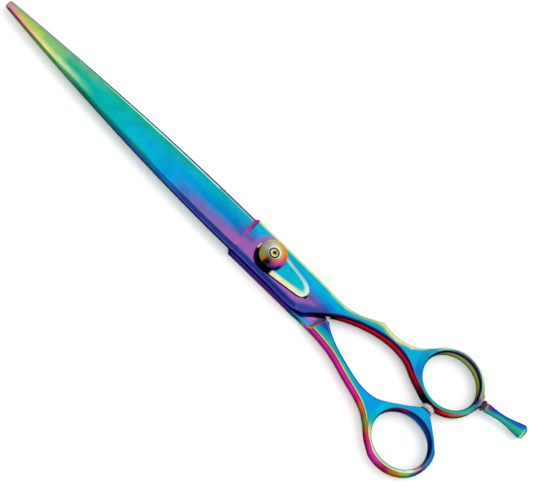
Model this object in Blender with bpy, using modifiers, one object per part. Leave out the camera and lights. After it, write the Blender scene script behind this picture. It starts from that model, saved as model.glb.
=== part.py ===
"""Long barber's shears with an adjusting dial, built as separate solids.

Frame: origin on the pivot axis in the plane of the back face, +X towards the finger rings,
+Y towards the finger ring's side, +Z out of the face that carries the dial. Metres.
Run it with blender --background --python part.py, or from Blender's text editor.
"""

import collections
import math

import bmesh
import bpy
from mathutils import Matrix, Vector, geometry

MM = 0.001
COLLECTION = "barber_shears"

# Driving dimensions
TIP_X = -134.0 * MM
HALF_THICKNESS = 3.0 * MM
TIP_THICKNESS = 1.1 * MM
RIDE_GAP = 0.3 * MM
FIT_GAP = 0.3 * MM
SHANK_THICKNESS = 5.2 * MM
BLADE_OVERLAP = 0.5 * MM
CHOIL_X = -11.8 * MM
RING_BAND = 2.35 * MM
PIVOT_RADIUS = 2.4 * MM
DIAL_RADIUS = 5.65 * MM
LEAF_RADIUS = 6.0 * MM
BUMPER_RADIUS = 2.55 * MM

# Levels above the back face
THUMB_RIDE_Z = HALF_THICKNESS
FINGER_RIDE_Z = THUMB_RIDE_Z + RIDE_GAP
FACE_Z = FINGER_RIDE_Z + HALF_THICKNESS
MIDDLE_Z = THUMB_RIDE_Z + RIDE_GAP / 2
SHANK_RISE = SHANK_THICKNESS / 2 + RIDE_GAP / 2
SHANK_FACE = SHANK_THICKNESS / 2 - RIDE_GAP / 2

# Rings: centre in plan, and the outer edge's half axes
FINGER_RING = (Vector((80.3, 16.1)) * MM, Vector((13.75, 13.15)) * MM)
THUMB_RING = (Vector((81.1, -15.8)) * MM, Vector((14.2, 13.6)) * MM)

# Tang, on the finger ring's centre line. Its profile is (share of its length, radius in mm).
TANG_ANGLE = math.radians(11.4)
TANG_DIRECTION = Vector((math.cos(TANG_ANGLE), math.sin(TANG_ANGLE), 0))
TANG_SEAT = 14.2 * MM
TANG_WASHER_LENGTH = 1.4 * MM
TANG_WASHER_RADIUS = 2.15 * MM
TANG_WASHER_FACE_RADIUS = 1.75 * MM
TANG_LENGTH = 17.9 * MM
TANG_PROFILE = (
    (0.985, 1.9), (0.95, 2.6), (0.9, 2.75), (0.8, 2.45), (0.66, 1.95), (0.5, 1.55),
    (0.34, 1.42), (0.18, 1.6), (0.03, 1.85), (0, 1.7),
)
STUD_RADIUS = 1.0 * MM
STUD_DEPTH = 1.8 * MM

# Bumper, standing on the thumb ring's crown
BUMPER_X = 81.0 * MM
CROWN_Y = 0.1 * MM
BUMPER_STUD_RADIUS = 0.9 * MM
BUMPER_STUD_LENGTH = 2.2 * MM

# Pivot stack
SCREW_HEAD_RADIUS = 4.0 * MM
SCREW_HEAD_THICKNESS = 1.0 * MM
NECK_FLAT = 2.0 * MM
THREAD_RADIUS = 1.9 * MM
BUSHING_RADIUS = PIVOT_RADIUS + 0.8 * MM
WASHER_RADIUS = 5.5 * MM
WASHER_THICKNESS = 0.5 * MM
RECESS_RADIUS = WASHER_RADIUS + FIT_GAP
WASHER_RECESS = (WASHER_THICKNESS + 2 * FIT_GAP - RIDE_GAP) / 2
LEAF_Z = FACE_Z + FIT_GAP
LEAF_THICKNESS = 0.8 * MM
LEAF_TAB_SIZE = Vector((0.7, 1.6, 2.4)) * MM
LEAF_TAB_CENTRE = Vector((18.7 * MM, -0.6 * MM, LEAF_Z + LEAF_THICKNESS / 2 - LEAF_TAB_SIZE.z / 2))
DIAL_Z = LEAF_Z + LEAF_THICKNESS + FIT_GAP
DIAL_RIM_Z = FACE_Z + 3.2 * MM
DIAL_TOP_Z = FACE_Z + 4.7 * MM
WEB_Z = DIAL_Z + 1.7 * MM
WEB_THICKNESS = 0.5 * MM
LOCK_HEAD_RADIUS = 1.6 * MM
LOCK_SHANK_RADIUS = 0.8 * MM
LOCK_SHANK_DEPTH = 1.6 * MM

# Meshing
RIM_STEPS = 2
GRID = 5.0 * MM
EDGE_STEP = 3.0 * MM
TURN_STEPS = 32
SMOOTH_ANGLE = math.radians(35)


def clear_scene():
    for obj in list(bpy.data.objects):
        bpy.data.objects.remove(obj, do_unlink=True)


def new_collection(name):
    collection = bpy.data.collections.new(name)
    bpy.context.scene.collection.children.link(collection)
    return collection


def material(name, colour, metallic, roughness):
    made = bpy.data.materials.new(name)
    made.use_nodes = True
    shader = made.node_tree.nodes["Principled BSDF"]
    shader.inputs["Base Color"].default_value = (*colour, 1.0)
    shader.inputs["Metallic"].default_value = metallic
    shader.inputs["Roughness"].default_value = roughness
    return made


def add_object(name, mesh, collection, finish=None, location=(0, 0, 0)):
    obj = bpy.data.objects.new(name, mesh)
    obj.location = location
    if finish:
        mesh.materials.append(finish)
    collection.objects.link(obj)
    return obj


def smooth(mesh):
    mesh.shade_smooth()
    mesh.set_sharp_from_angle(angle=SMOOTH_ANGLE)


def step_between(low, high, value):
    """0 below low, 1 above high, and a smooth rise between them."""
    share = min(1.0, max(0.0, (value - low) / (high - low)))
    return share * share * (3 - 2 * share)


# Outlines in plan. A half is drawn with its spine towards -q and its cutting edge towards +q: q is y on
# the finger half and -y on the thumb half. The closed tips lie a little towards +Y, so the finger half's
# blade leans towards its edge and the thumb half's towards its spine.

Half = collections.namedtuple("Half", "lean pad_width ring")
FINGER = Half(-1, 7.8 * MM, FINGER_RING)
THUMB = Half(1, 8.45 * MM, THUMB_RING)
BLADE_WIDTH = 8.4 * MM
BLADE_TAPER = 6.5 * MM
TIP_SHIFT = 0.85 * MM
TAPER_START_X = -20.0 * MM


def spline(points, step):
    """Points about a step apart on a smooth curve through the given ones. The last one is left out."""
    knots = [Vector(p) for p in points]
    before = [2 * knots[0] - knots[1]] + knots[:-1]
    after = knots[1:] + [2 * knots[-1] - knots[-2]]
    slopes = [(b - a) / 2 for a, b in zip(before, after)]
    made = []
    for i in range(len(knots) - 1):
        start, end = knots[i], knots[i + 1]
        count = max(1, round((end - start).length / step))
        for k in range(count):
            t = k / count
            t2, t3 = t * t, t * t * t
            point = start * (2 * t3 - 3 * t2 + 1) + end * (3 * t2 - 2 * t3)
            point += slopes[i] * (t3 - 2 * t2 + t) + slopes[i + 1] * (t3 - t2)
            made.append(point)
    return made


def arc(centre, radii, first_degrees, last_degrees, step):
    """Points on part of an ellipse. The last one is left out."""
    turn = math.radians(last_degrees - first_degrees)
    count = max(3, round(abs(turn) * max(radii) / step))
    angles = [math.radians(first_degrees) + turn * k / count for k in range(count)]
    return [
        Vector((centre[0] + radii[0] * math.cos(a), centre[1] + radii[1] * math.sin(a))) for a in angles
    ]


def millimetres(*points):
    return [Vector(p) * MM for p in points]


def along_taper(x):
    """0 near the pivot, 1 at the tip."""
    return max(0.0, TAPER_START_X - x) / (TAPER_START_X - TIP_X)


def spine_width(x, half):
    """Distance from the centre line to a blade's spine: full near the pivot, curving in to the tip."""
    share = along_taper(x)
    return BLADE_WIDTH - BLADE_TAPER * share**1.75 + half.lean * TIP_SHIFT * share**1.8


def edge_width(x, half):
    """Distance from the centre line to a blade's cutting edge."""
    return spine_width(x, half) - BLADE_OVERLAP - 2 * half.lean * TIP_SHIFT * along_taper(x) ** 1.8


def blade_run(width, half, start, end, side, step):
    """Points along a spine or a cutting edge, from start to end."""
    count = max(2, round(abs(end - start) / step))
    stations = [start + (end - start) * k / count for k in range(count)]
    return [Vector((x, side * width(x, half))) for x in stations]


TIP_CORNER = 0.9 * MM
SHOULDER = millimetres(
    (10, -8.6), (17, -8.55), (20.5, -8.1), (23.2, -6.6), (25.5, -4.4), (28.7, -1.75), (31.1, 0.1)
)


def blade_outline_start(half, step):
    """The tip and the spine, as far as the pivot."""
    low, high = -spine_width(TIP_X, half), edge_width(TIP_X, half)
    tip = [
        Vector((TIP_X + TIP_CORNER, high)),
        Vector((TIP_X + TIP_CORNER * 0.3, high - TIP_CORNER * 0.3)),
        Vector((TIP_X, high - TIP_CORNER)),
        Vector((TIP_X, low + TIP_CORNER)),
        Vector((TIP_X + TIP_CORNER * 0.3, low + TIP_CORNER * 0.3)),
    ]
    return tip + blade_run(spine_width, half, TIP_X + TIP_CORNER, 9 * MM, -1, step)


def blade_outline_end(half, step):
    """The pad's edge, the choil and the cutting edge, as far as the tip."""
    pad = [Vector((x, half.pad_width)) for x in (24 * MM, 10 * MM, CHOIL_X)]
    pad.append(Vector((CHOIL_X - 0.5 * MM, edge_width(CHOIL_X, half))))
    return pad + blade_run(edge_width, half, CHOIL_X - 1.6 * MM, TIP_X + TIP_CORNER, 1, step)


def finger_outline(step):
    """The finger half: a finger notch on its shank, and a flat seat for the tang on its ring."""
    centre, radii = FINGER.ring
    inner_shank = SHOULDER + millimetres(
        (34.4, 2.7), (39.3, 5.4), (44.2, 7.5), (49.1, 9.0),
        (54.0, 9.85), (58.9, 9.9), (63.8, 8.9), (68.7, 6.5),
    )
    inner_shank.append(arc(centre, radii, -116, -100, step)[0])
    outer_shank = [arc(centre, radii, 108, 120, step)[0]] + millimetres(
        (71.0, 25.45), (66.8, 20.4), (63.2, 17.0), (58.9, 14.8), (54.0, 13.8), (50.4, 13.9), (47.5, 14.4)
    )
    notch_to_pad = millimetres((47.5, 14.4), (44.2, 12.5), (39.3, 9.8), (34.4, 8.4), (29.5, 7.85), (24, 7.8))
    seat_half_degrees = 9
    seat = math.degrees(TANG_ANGLE)
    seat_corner = TANG_SEAT / math.cos(math.radians(seat_half_degrees))
    ring = arc(centre, radii, -116, seat - 2 * seat_half_degrees, step)
    for degrees in (-seat_half_degrees, seat_half_degrees):
        angle = math.radians(seat + degrees)
        ring.append(centre + Vector((math.cos(angle), math.sin(angle))) * seat_corner)
    ring += arc(centre, radii, seat + 2 * seat_half_degrees, 108, step)
    handle = spline(inner_shank, step) + ring + spline(outer_shank, step) + spline(notch_to_pad, step)
    return blade_outline_start(FINGER, step) + handle + blade_outline_end(FINGER, step)


def thumb_outline(step):
    """The thumb half, drawn with q = -y: its ring has a crown that carries the bumper."""
    centre = Vector((THUMB.ring[0].x, -THUMB.ring[0].y))
    radii = THUMB.ring[1]
    inner_shank = SHOULDER + millimetres(
        (34.4, 3.2), (39.3, 5.95), (44.2, 7.8), (49.1, 9.3),
        (54.0, 10.6), (58.9, 11.2), (63.8, 10.6), (68.2, 8.2),
    )
    crown_half = 1.7 * MM
    inner_shank += millimetres((71.7, 5.6), (74.6, 3.5), (77.4, 1.1))
    inner_shank.append(Vector((BUMPER_X - crown_half, -CROWN_Y)))
    crown = [Vector((BUMPER_X - crown_half, -CROWN_Y)), Vector((BUMPER_X + crown_half, -CROWN_Y))]
    joins = arc(centre, radii, -25, 0, step)[0]
    past_crown = crown[1:] + millimetres((84.1, 1.0), (86.4, 2.9), (90.0, 6.0)) + [joins]
    outer_shank = [arc(centre, radii, 112, 120, step)[0]] + millimetres(
        (70.9, 25.0), (67.0, 21.0), (63.2, 18.1), (58.9, 16.1), (54.0, 14.6), (49.1, 13.1), (44.2, 11.4)
    )
    outer_shank += millimetres((39.3, 10.1), (34.4, 9.4), (29.5, 8.9), (24, 8.45))
    handle = spline(inner_shank, step) + crown[:1] + spline(past_crown, step)
    handle += arc(centre, radii, -25, 112, step) + spline(outer_shank, step)
    return blade_outline_start(THUMB, step) + handle + blade_outline_end(THUMB, step)


# Heights of a half's two faces, measured from its own ride plane.

SPINE_BEVEL_TIP = 0.5 * MM
SPINE_BEVEL_PIVOT = 1.7 * MM
SPINE_DROP = 0.5
HONE_WIDTH = 0.9 * MM
EDGE_THICKNESS = 0.2 * MM
CHOIL_RAMP = 1.3 * MM
RAMP_START = Vector((27.1, 9.2)) * MM
RAMP_END = Vector((30.2, 2.1)) * MM
RAMP_LENGTH = 1.4 * MM


def bevel_width(x):
    """Width in plan of the sloping band along the spine."""
    share = min(1.0, max(0.0, (x - TIP_X) / (CHOIL_X - TIP_X)))
    return SPINE_BEVEL_TIP + (SPINE_BEVEL_PIVOT - SPINE_BEVEL_TIP) * share


def wedge_thickness(x, q, half):
    """The blade's cross-section: thickest at the spine, a gentle convex fall, then the hone bevel."""
    spine, edge = spine_width(x, half), edge_width(x, half)
    along = max(0.0, CHOIL_X - x) / (CHOIL_X - TIP_X)
    full = HALF_THICKNESS + (TIP_THICKNESS - HALF_THICKNESS) * along
    share = min(1.0, max(0.0, (q + spine) / (edge + spine)))
    wedge = full * (1 - 0.5 * share**1.6)
    to_edge = max(0.0, edge - q)
    hone = EDGE_THICKNESS + to_edge * 1.1
    return min(wedge, hone) if to_edge < HONE_WIDTH * 2 else wedge


def outer_height(x, q, half):
    """The outer face: wedge blade, flat pad, then the shank and ring."""
    blade = wedge_thickness(x, q, half)
    height = HALF_THICKNESS + (blade - HALF_THICKNESS) * step_between(CHOIL_X, CHOIL_X - CHOIL_RAMP, x)
    from_spine = max(0.0, q + spine_width(x, half))
    bevel = SPINE_DROP * height * (1 - step_between(17 * MM, 24 * MM, x))
    height -= bevel * max(0.0, 1 - from_spine / bevel_width(x))
    return height + (SHANK_FACE - height) * step_between(16 * MM, 36 * MM, x)


def ramp_x(q):
    """Where the inner face leaves the ride plane."""
    slope = (RAMP_END.x - RAMP_START.x) / (RAMP_END.y - RAMP_START.y)
    return RAMP_START.x + slope * (q - RAMP_START.y)


def inner_height(x, q):
    """The inner face: flat on the ride plane, then up the ramp to the shank's other side."""
    share = min(1.0, max(0.0, (x - ramp_x(q)) / RAMP_LENGTH))
    return -SHANK_RISE * share


def rim_size(x, q, half):
    """Width and height of the rounding where a face meets the wall."""
    to_shank = step_between(20 * MM, 34 * MM, x)
    to_ring = step_between(58 * MM, 69 * MM, x)
    width = (0.25 + 1.2 * to_shank - 0.65 * to_ring) * MM
    height = (0.25 + 1.5 * to_shank + 0.2 * to_ring) * MM
    if x < CHOIL_X:
        thickness = outer_height(x, q, half) - inner_height(x, q)
        width = height = min(0.12 * MM, 0.3 * thickness)
    return width, height


def crease_lines(half, step):
    """Lines in plan where a face turns, which the triangles follow."""
    start, end = TIP_X + 2 * TIP_CORNER, CHOIL_X - CHOIL_RAMP
    spine = blade_run(spine_width, half, start, 18 * MM, -1, step)
    bevel = [Vector((p.x, p.y + bevel_width(p.x))) for p in spine]
    edge = blade_run(edge_width, half, start, end, 1, step)
    hone = [Vector((p.x, p.y - HONE_WIDTH)) for p in edge]
    choil = [
        [Vector((x, q * MM)) for q in (-6, -3, 0, 3, 6)] for x in (CHOIL_X - 0.05 * MM, CHOIL_X - CHOIL_RAMP)
    ]
    ramp = [
        [Vector((ramp_x(q * MM) + shift, q * MM)) for q in (0.6, 3, 5, 7)] for shift in (0, RAMP_LENGTH)
    ]
    return [bevel, hone, *choil, *ramp]


# A half is one closed skin: two faces over the same plan, and a rounded rim round every loop of it.


def inward_normals(loop):
    count = len(loop)
    normals = []
    for i in range(count):
        along = (loop[(i + 1) % count] - loop[i]).normalized() + (loop[i] - loop[i - 1]).normalized()
        normals.append(Vector((-along.y, along.x)).normalized())
    return normals


def inside(point, loops):
    crossings = 0
    for loop in loops:
        for i, b in enumerate(loop):
            a = loop[i - 1]
            if (a.y > point.y) != (b.y > point.y):
                if point.x < a.x + (point.y - a.y) / (b.y - a.y) * (b.x - a.x):
                    crossings += 1
    return crossings % 2 == 1


def nearest(point, loops):
    return min((point - p).length for loop in loops for p in loop)


def plan_grid(loops, spacing):
    """Points of a square grid that lie well inside the loops."""
    xs = [p.x for p in loops[0]]
    ys = [p.y for p in loops[0]]
    made = []
    for i in range(int((max(xs) - min(xs)) / spacing)):
        for j in range(int((max(ys) - min(ys)) / spacing)):
            point = Vector((min(xs) + (i + 0.5) * spacing, min(ys) + (j + 0.5) * spacing))
            if inside(point, loops) and nearest(point, loops) > 0.6 * spacing:
                made.append(point)
    return made


def rim_rows(bm, loop, outer, inner, rim):
    """Rings of vertices from the outer face's edge, round the rim and down to the inner face's edge."""
    quarter = [math.pi / 2 * k / RIM_STEPS for k in range(RIM_STEPS + 1)]
    rows = [[] for _ in range(2 * len(quarter))]
    for point, normal in zip(loop, inward_normals(loop)):
        width, height = rim(point.x, point.y)
        flat = point + normal * width
        for k, angle in enumerate(quarter):
            inset = point + normal * width * (1 - math.sin(angle)) if k else flat
            drop = height * (1 - math.cos(angle))
            z_outer = outer(flat.x, flat.y) - drop
            z_inner = inner(flat.x, flat.y) + drop
            rows[k].append(bm.verts.new((inset.x, inset.y, z_outer)))
            rows[-1 - k].append(bm.verts.new((inset.x, inset.y, z_inner)))
    for upper, lower in zip(rows, rows[1:]):
        for i in range(len(loop)):
            bm.faces.new((upper[i - 1], lower[i - 1], lower[i], upper[i]))
    return rows[0], rows[-1]


def forged_mesh(name, loops, creases, outer, inner, rim, spacing):
    bm = bmesh.new()
    tops, bottoms = [], []
    edges = []
    for loop in loops:
        first = len(tops)
        top, bottom = rim_rows(bm, loop, outer, inner, rim)
        tops += top
        bottoms += bottom
        edges += [(first + i, first + (i + 1) % len(loop)) for i in range(len(loop))]
    flat_loops = []
    taken = 0
    for loop in loops:
        flat_loops.append([v.co.xy for v in tops[taken : taken + len(loop)]])
        taken += len(loop)
    plan = [v.co.xy for v in tops]
    for line in creases:
        kept = [p for p in line if inside(p, flat_loops)]
        edges += [(len(plan) + i, len(plan) + i + 1) for i in range(len(kept) - 1)]
        plan += kept
    free = [p for p in plan_grid(flat_loops, spacing) if nearest(p, [plan]) > 0.5 * spacing]
    points, _, faces, sources, _, _ = geometry.delaunay_2d_cdt(plan + free, edges, [], 0, 1e-7)
    upper, lower = [], []
    for point, source in zip(points, sources):
        rim_vertex = next((s for s in source if s < len(tops)), None)
        if rim_vertex is None:
            upper.append(bm.verts.new((point.x, point.y, outer(point.x, point.y))))
            lower.append(bm.verts.new((point.x, point.y, inner(point.x, point.y))))
        else:
            upper.append(tops[rim_vertex])
            lower.append(bottoms[rim_vertex])
    for face in faces:
        centre = sum((points[i] for i in face), Vector((0, 0))) / len(face)
        if inside(centre, flat_loops):
            bm.faces.new([upper[i] for i in face])
            bm.faces.new([lower[i] for i in reversed(face)])
    loose = [v for v in bm.verts if not v.link_faces]
    bmesh.ops.delete(bm, geom=loose, context="VERTS")
    bmesh.ops.recalc_face_normals(bm, faces=bm.faces)
    mesh = bpy.data.meshes.new(name)
    bm.to_mesh(mesh)
    bm.free()
    return mesh


def ring_hole(ring, q_sign, step):
    centre, radii = ring
    inner = radii - Vector((RING_BAND, RING_BAND))
    loop = arc((centre.x, centre.y * q_sign), inner, 0, 360, step)
    return loop[::-1]


# Cutters, and shapes turned on an axis.


def cylinder_cutter(name, radius, low, high, cutters, centre=(0, 0), flat=None):
    """An upright cylinder. With flat, its two sides in Y are cut off at that distance."""
    bm = bmesh.new()
    bmesh.ops.create_cone(
        bm, cap_ends=True, segments=TURN_STEPS, radius1=radius, radius2=radius, depth=high - low
    )
    if flat:
        for side in (-1, 1):
            geom = bm.verts[:] + bm.edges[:] + bm.faces[:]
            cut = bmesh.ops.bisect_plane(
                bm, geom=geom, plane_co=(0, side * flat, 0), plane_no=(0, side, 0), clear_outer=True
            )
            rim = [e for e in cut["geom_cut"] if isinstance(e, bmesh.types.BMEdge)]
            bmesh.ops.edgeloop_fill(bm, edges=rim)
    bmesh.ops.recalc_face_normals(bm, faces=bm.faces)
    mesh = bpy.data.meshes.new(name)
    bm.to_mesh(mesh)
    bm.free()
    return hidden(add_object(name, mesh, cutters, location=(*centre, (low + high) / 2)))


def box_cutter(name, low, high, cutters):
    bm = bmesh.new()
    bmesh.ops.create_cube(bm, size=1.0)
    size = Vector(high) - Vector(low)
    bmesh.ops.scale(bm, vec=size, verts=bm.verts)
    mesh = bpy.data.meshes.new(name)
    bm.to_mesh(mesh)
    bm.free()
    return hidden(add_object(name, mesh, cutters, location=(Vector(low) + Vector(high)) / 2))


def hidden(obj):
    obj.hide_render = True
    obj.display_type = "WIRE"
    return obj


def boolean(obj, other, operation="DIFFERENCE"):
    modifier = obj.modifiers.new(f"{operation.lower()}_{other.name}", "BOOLEAN")
    modifier.operation = operation
    modifier.solver = "EXACT"
    modifier.object = other


def turned(name, profile, collection, finish, steps=TURN_STEPS):
    """A solid of revolution about Z. The profile is (radius, height) pairs down its outer side."""
    mesh = bpy.data.meshes.new(name)
    closed = profile[0][0] > 0
    edges = [(i, i + 1) for i in range(len(profile) - 1)]
    if closed:
        edges.append((len(profile) - 1, 0))
    mesh.from_pydata([(r, 0, z) for r, z in profile], edges, [])
    obj = add_object(name, mesh, collection, finish)
    screw = obj.modifiers.new("turn", "SCREW")
    screw.steps = steps
    screw.render_steps = steps
    screw.use_merge_vertices = True
    screw.merge_threshold = 0.00001
    screw.use_smooth_shade = True
    return obj


def point_along(obj, place, direction):
    """Puts a turned object with its Z axis along a direction."""
    obj.location = place
    obj.rotation_euler = Vector(direction).to_track_quat("Z", "Y").to_euler()


# The pieces


def finger_half(parts, cutters, finish):
    loops = [finger_outline(EDGE_STEP), ring_hole(FINGER_RING, 1, EDGE_STEP)]

    def outer(x, y):
        return FINGER_RIDE_Z + outer_height(x, y, FINGER)

    def inner(x, y):
        return FINGER_RIDE_Z + inner_height(x, y)

    def rim(x, y):
        return rim_size(x, y, FINGER)

    mesh = forged_mesh("finger_half", loops, crease_lines(FINGER, 2 * EDGE_STEP), outer, inner, rim, GRID)
    smooth(mesh)
    half = add_object("finger_half", mesh, parts, finish)
    hole = PIVOT_RADIUS + FIT_GAP
    boolean(half, cylinder_cutter("neck_hole", hole, 0, 2 * FACE_Z, cutters, flat=NECK_FLAT + FIT_GAP))
    recess_top = FINGER_RIDE_Z + WASHER_RECESS
    boolean(half, cylinder_cutter("washer_recess_finger", RECESS_RADIUS, 0, recess_top, cutters))
    slot = LEAF_TAB_SIZE / 2 + Vector((FIT_GAP, FIT_GAP, 0))
    low = LEAF_TAB_CENTRE - slot
    low.z = LEAF_TAB_CENTRE.z - LEAF_TAB_SIZE.z / 2 - FIT_GAP
    high = LEAF_TAB_CENTRE + slot
    high.z = 2 * FACE_Z
    boolean(half, box_cutter("leaf_slot", low, high, cutters))
    drill = cylinder_cutter(
        "tang_hole", STUD_RADIUS + FIT_GAP, 0, 2 * STUD_DEPTH + 2 * FIT_GAP, cutters
    )
    point_along(drill, tang_point(TANG_SEAT), TANG_DIRECTION)
    boolean(half, drill)


def thumb_half(parts, cutters, finish):
    loops = [thumb_outline(EDGE_STEP), ring_hole(THUMB_RING, -1, EDGE_STEP)]

    def outer(x, q):
        return outer_height(x, q, THUMB) - THUMB_RIDE_Z

    def inner(x, q):
        return inner_height(x, q) - THUMB_RIDE_Z

    def rim(x, q):
        return rim_size(x, q, THUMB)

    mesh = forged_mesh("thumb_half", loops, crease_lines(THUMB, 2 * EDGE_STEP), outer, inner, rim, GRID)
    mesh.transform(Matrix.Rotation(math.pi, 4, "X"))
    smooth(mesh)
    half = add_object("thumb_half", mesh, parts, finish)
    boolean(half, cylinder_cutter("bushing_hole", BUSHING_RADIUS + FIT_GAP, -FACE_Z, FACE_Z, cutters))
    head_room = SCREW_HEAD_THICKNESS + FIT_GAP
    boolean(half, cylinder_cutter("head_recess", SCREW_HEAD_RADIUS + FIT_GAP, -FACE_Z, head_room, cutters))
    recess_low = THUMB_RIDE_Z - WASHER_RECESS
    boolean(half, cylinder_cutter("washer_recess_thumb", RECESS_RADIUS, recess_low, FACE_Z, cutters))
    depth = BUMPER_STUD_LENGTH + FIT_GAP
    drill = cylinder_cutter("bumper_hole", BUMPER_STUD_RADIUS + FIT_GAP, 0, 2 * depth, cutters)
    point_along(drill, (BUMPER_X, CROWN_Y, MIDDLE_Z), (0, 1, 0))
    boolean(half, drill)


def tang_point(distance):
    """A point on the tang's axis, at that distance from the finger ring's centre."""
    centre = FINGER_RING[0]
    return Vector((centre.x, centre.y, MIDDLE_Z)) + TANG_DIRECTION * distance


def pivot_screw(parts, cutters, finish):
    """A flush plain head at the back, a neck with two flats in the finger half, a threaded end."""
    thread_low = LEAF_Z - FIT_GAP
    thread_high = WEB_Z - FIT_GAP
    tapped = LOCK_SHANK_RADIUS + FIT_GAP
    tapped_end = WEB_Z - LOCK_SHANK_DEPTH - FIT_GAP
    chamfer = 0.25 * MM
    profile = [
        (0, tapped_end),
        (tapped, tapped_end),
        (tapped, thread_high),
        (THREAD_RADIUS - chamfer, thread_high),
        (THREAD_RADIUS, thread_high - chamfer),
        (THREAD_RADIUS, thread_low),
        (PIVOT_RADIUS, thread_low),
        (PIVOT_RADIUS, SCREW_HEAD_THICKNESS),
        (SCREW_HEAD_RADIUS, SCREW_HEAD_THICKNESS),
        (SCREW_HEAD_RADIUS, 0),
        (0, 0),
    ]
    screw = turned("pivot_screw", profile, parts, finish)
    for side in (-1, 1):
        near, far = sorted((side * NECK_FLAT, side * 2 * PIVOT_RADIUS))
        low = (-2 * PIVOT_RADIUS, near, MIDDLE_Z + WASHER_THICKNESS / 2)
        high = (2 * PIVOT_RADIUS, far, LEAF_Z)
        boolean(screw, box_cutter(f"neck_flat_{'b' if side > 0 else 'a'}", low, high, cutters))


def washers(parts, nylon, steel):
    bore = PIVOT_RADIUS + FIT_GAP
    low, high = SCREW_HEAD_THICKNESS + FIT_GAP, THUMB_RIDE_Z - WASHER_RECESS
    turned("pivot_bushing", ring_profile(bore, BUSHING_RADIUS, low, high), parts, nylon)
    low = MIDDLE_Z - WASHER_THICKNESS / 2
    turned("thrust_washer", ring_profile(bore, WASHER_RADIUS, low, low + WASHER_THICKNESS), parts, nylon)
    sheet, rise = 0.3 * MM, 0.25 * MM
    inner, outer = THREAD_RADIUS + 2 * FIT_GAP, DIAL_RADIUS - 1.6 * MM
    cone = [(inner, DIAL_Z + rise + sheet), (outer, DIAL_Z + sheet), (outer, DIAL_Z), (inner, DIAL_Z + rise)]
    turned("spring_washer", cone, parts, steel)


def ring_profile(inner, outer, low, high):
    return [(inner, high), (outer, high), (outer, low), (inner, low)]


def tension_leaf(parts, cutters, finish):
    """A teardrop plate under the dial. Its tail hooks into a slot in the finger half."""
    head = arc((0, -0.5 * MM), (LEAF_RADIUS, LEAF_RADIUS), 62, 278, EDGE_STEP / 2)
    tail = millimetres(
        (16.5, -4.1), (18.2, -3.5), (19.2, -2.2), (19.6, -0.6), (19.1, 0.7), (17.9, 1.9), (15.9, 2.8)
    )
    bore = THREAD_RADIUS + FIT_GAP
    hole = arc((0, 0), (bore, bore), 0, 360, EDGE_STEP / 3)
    curve = bpy.data.curves.new("leaf_outline", "CURVE")
    curve.dimensions = "2D"
    curve.fill_mode = "BOTH"
    curve.extrude = LEAF_THICKNESS / 2
    for points in (head + tail, hole):
        poly = curve.splines.new("POLY")
        poly.points.add(len(points) - 1)
        for target, point in zip(poly.points, points):
            target.co = (point.x, point.y, 0, 1)
        poly.use_cyclic_u = True
    guide = bpy.data.objects.new("leaf_outline", curve)
    guide.location = (0, 0, LEAF_Z + LEAF_THICKNESS / 2)
    cutters.objects.link(guide)
    leaf = mesh_from_curve(guide, "tension_leaf", parts, finish)
    low = LEAF_TAB_CENTRE - LEAF_TAB_SIZE / 2
    high = LEAF_TAB_CENTRE + LEAF_TAB_SIZE / 2
    boolean(leaf, box_cutter("leaf_tab", low, high, cutters), "UNION")


def mesh_from_curve(guide, name, collection, finish):
    """The curve's evaluated mesh with its caps welded on. The curve is removed."""
    bpy.context.view_layer.update()
    graph = bpy.context.evaluated_depsgraph_get()
    mesh = bpy.data.meshes.new_from_object(guide.evaluated_get(graph))
    mesh.name = name
    place = guide.matrix_world.copy()
    bpy.data.objects.remove(guide, do_unlink=True)
    bm = bmesh.new()
    bm.from_mesh(mesh)
    bmesh.ops.remove_doubles(bm, verts=bm.verts, dist=0.000001)
    bmesh.ops.recalc_face_normals(bm, faces=bm.faces)
    bm.to_mesh(mesh)
    bm.free()
    mesh.materials.clear()
    obj = add_object(name, mesh, collection, finish)
    obj.matrix_world = place
    return obj


def tension_dial(parts, finish):
    """Domed thumb nut: a recess for the spring below, the thread, and a web under the lock screw."""
    recess, recess_top = DIAL_RADIUS - 1.2 * MM, DIAL_Z + 0.9 * MM
    thread = THREAD_RADIUS + FIT_GAP
    web_hole = LOCK_SHANK_RADIUS + FIT_GAP
    bore, mouth = LOCK_HEAD_RADIUS + 0.45 * MM, LOCK_HEAD_RADIUS + 0.9 * MM
    web_top = WEB_Z + WEB_THICKNESS
    dome_rise = DIAL_TOP_Z - DIAL_RIM_Z
    dome_steps, dome_power = 5, 2.2
    shoulder, shoulder_drop = 0.25 * MM, 0.35 * MM
    foot_chamfer = 0.2 * MM
    dome = []
    for k in range(dome_steps + 1):
        radius = mouth + (DIAL_RADIUS - shoulder - mouth) * k / dome_steps
        share = (radius - mouth) / (DIAL_RADIUS - mouth)
        dome.append((radius, DIAL_TOP_Z - dome_rise * share**dome_power))
    profile = dome + [
        (DIAL_RADIUS, DIAL_RIM_Z - shoulder_drop),
        (DIAL_RADIUS, DIAL_Z + foot_chamfer),
        (DIAL_RADIUS - foot_chamfer, DIAL_Z),
        (recess, DIAL_Z),
        (recess, recess_top),
        (thread, recess_top),
        (thread, WEB_Z),
        (web_hole, WEB_Z),
        (web_hole, web_top),
        (bore, web_top),
        (bore, DIAL_TOP_Z - 0.4 * MM),
    ]
    turned("tension_dial", profile, parts, finish)


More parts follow.
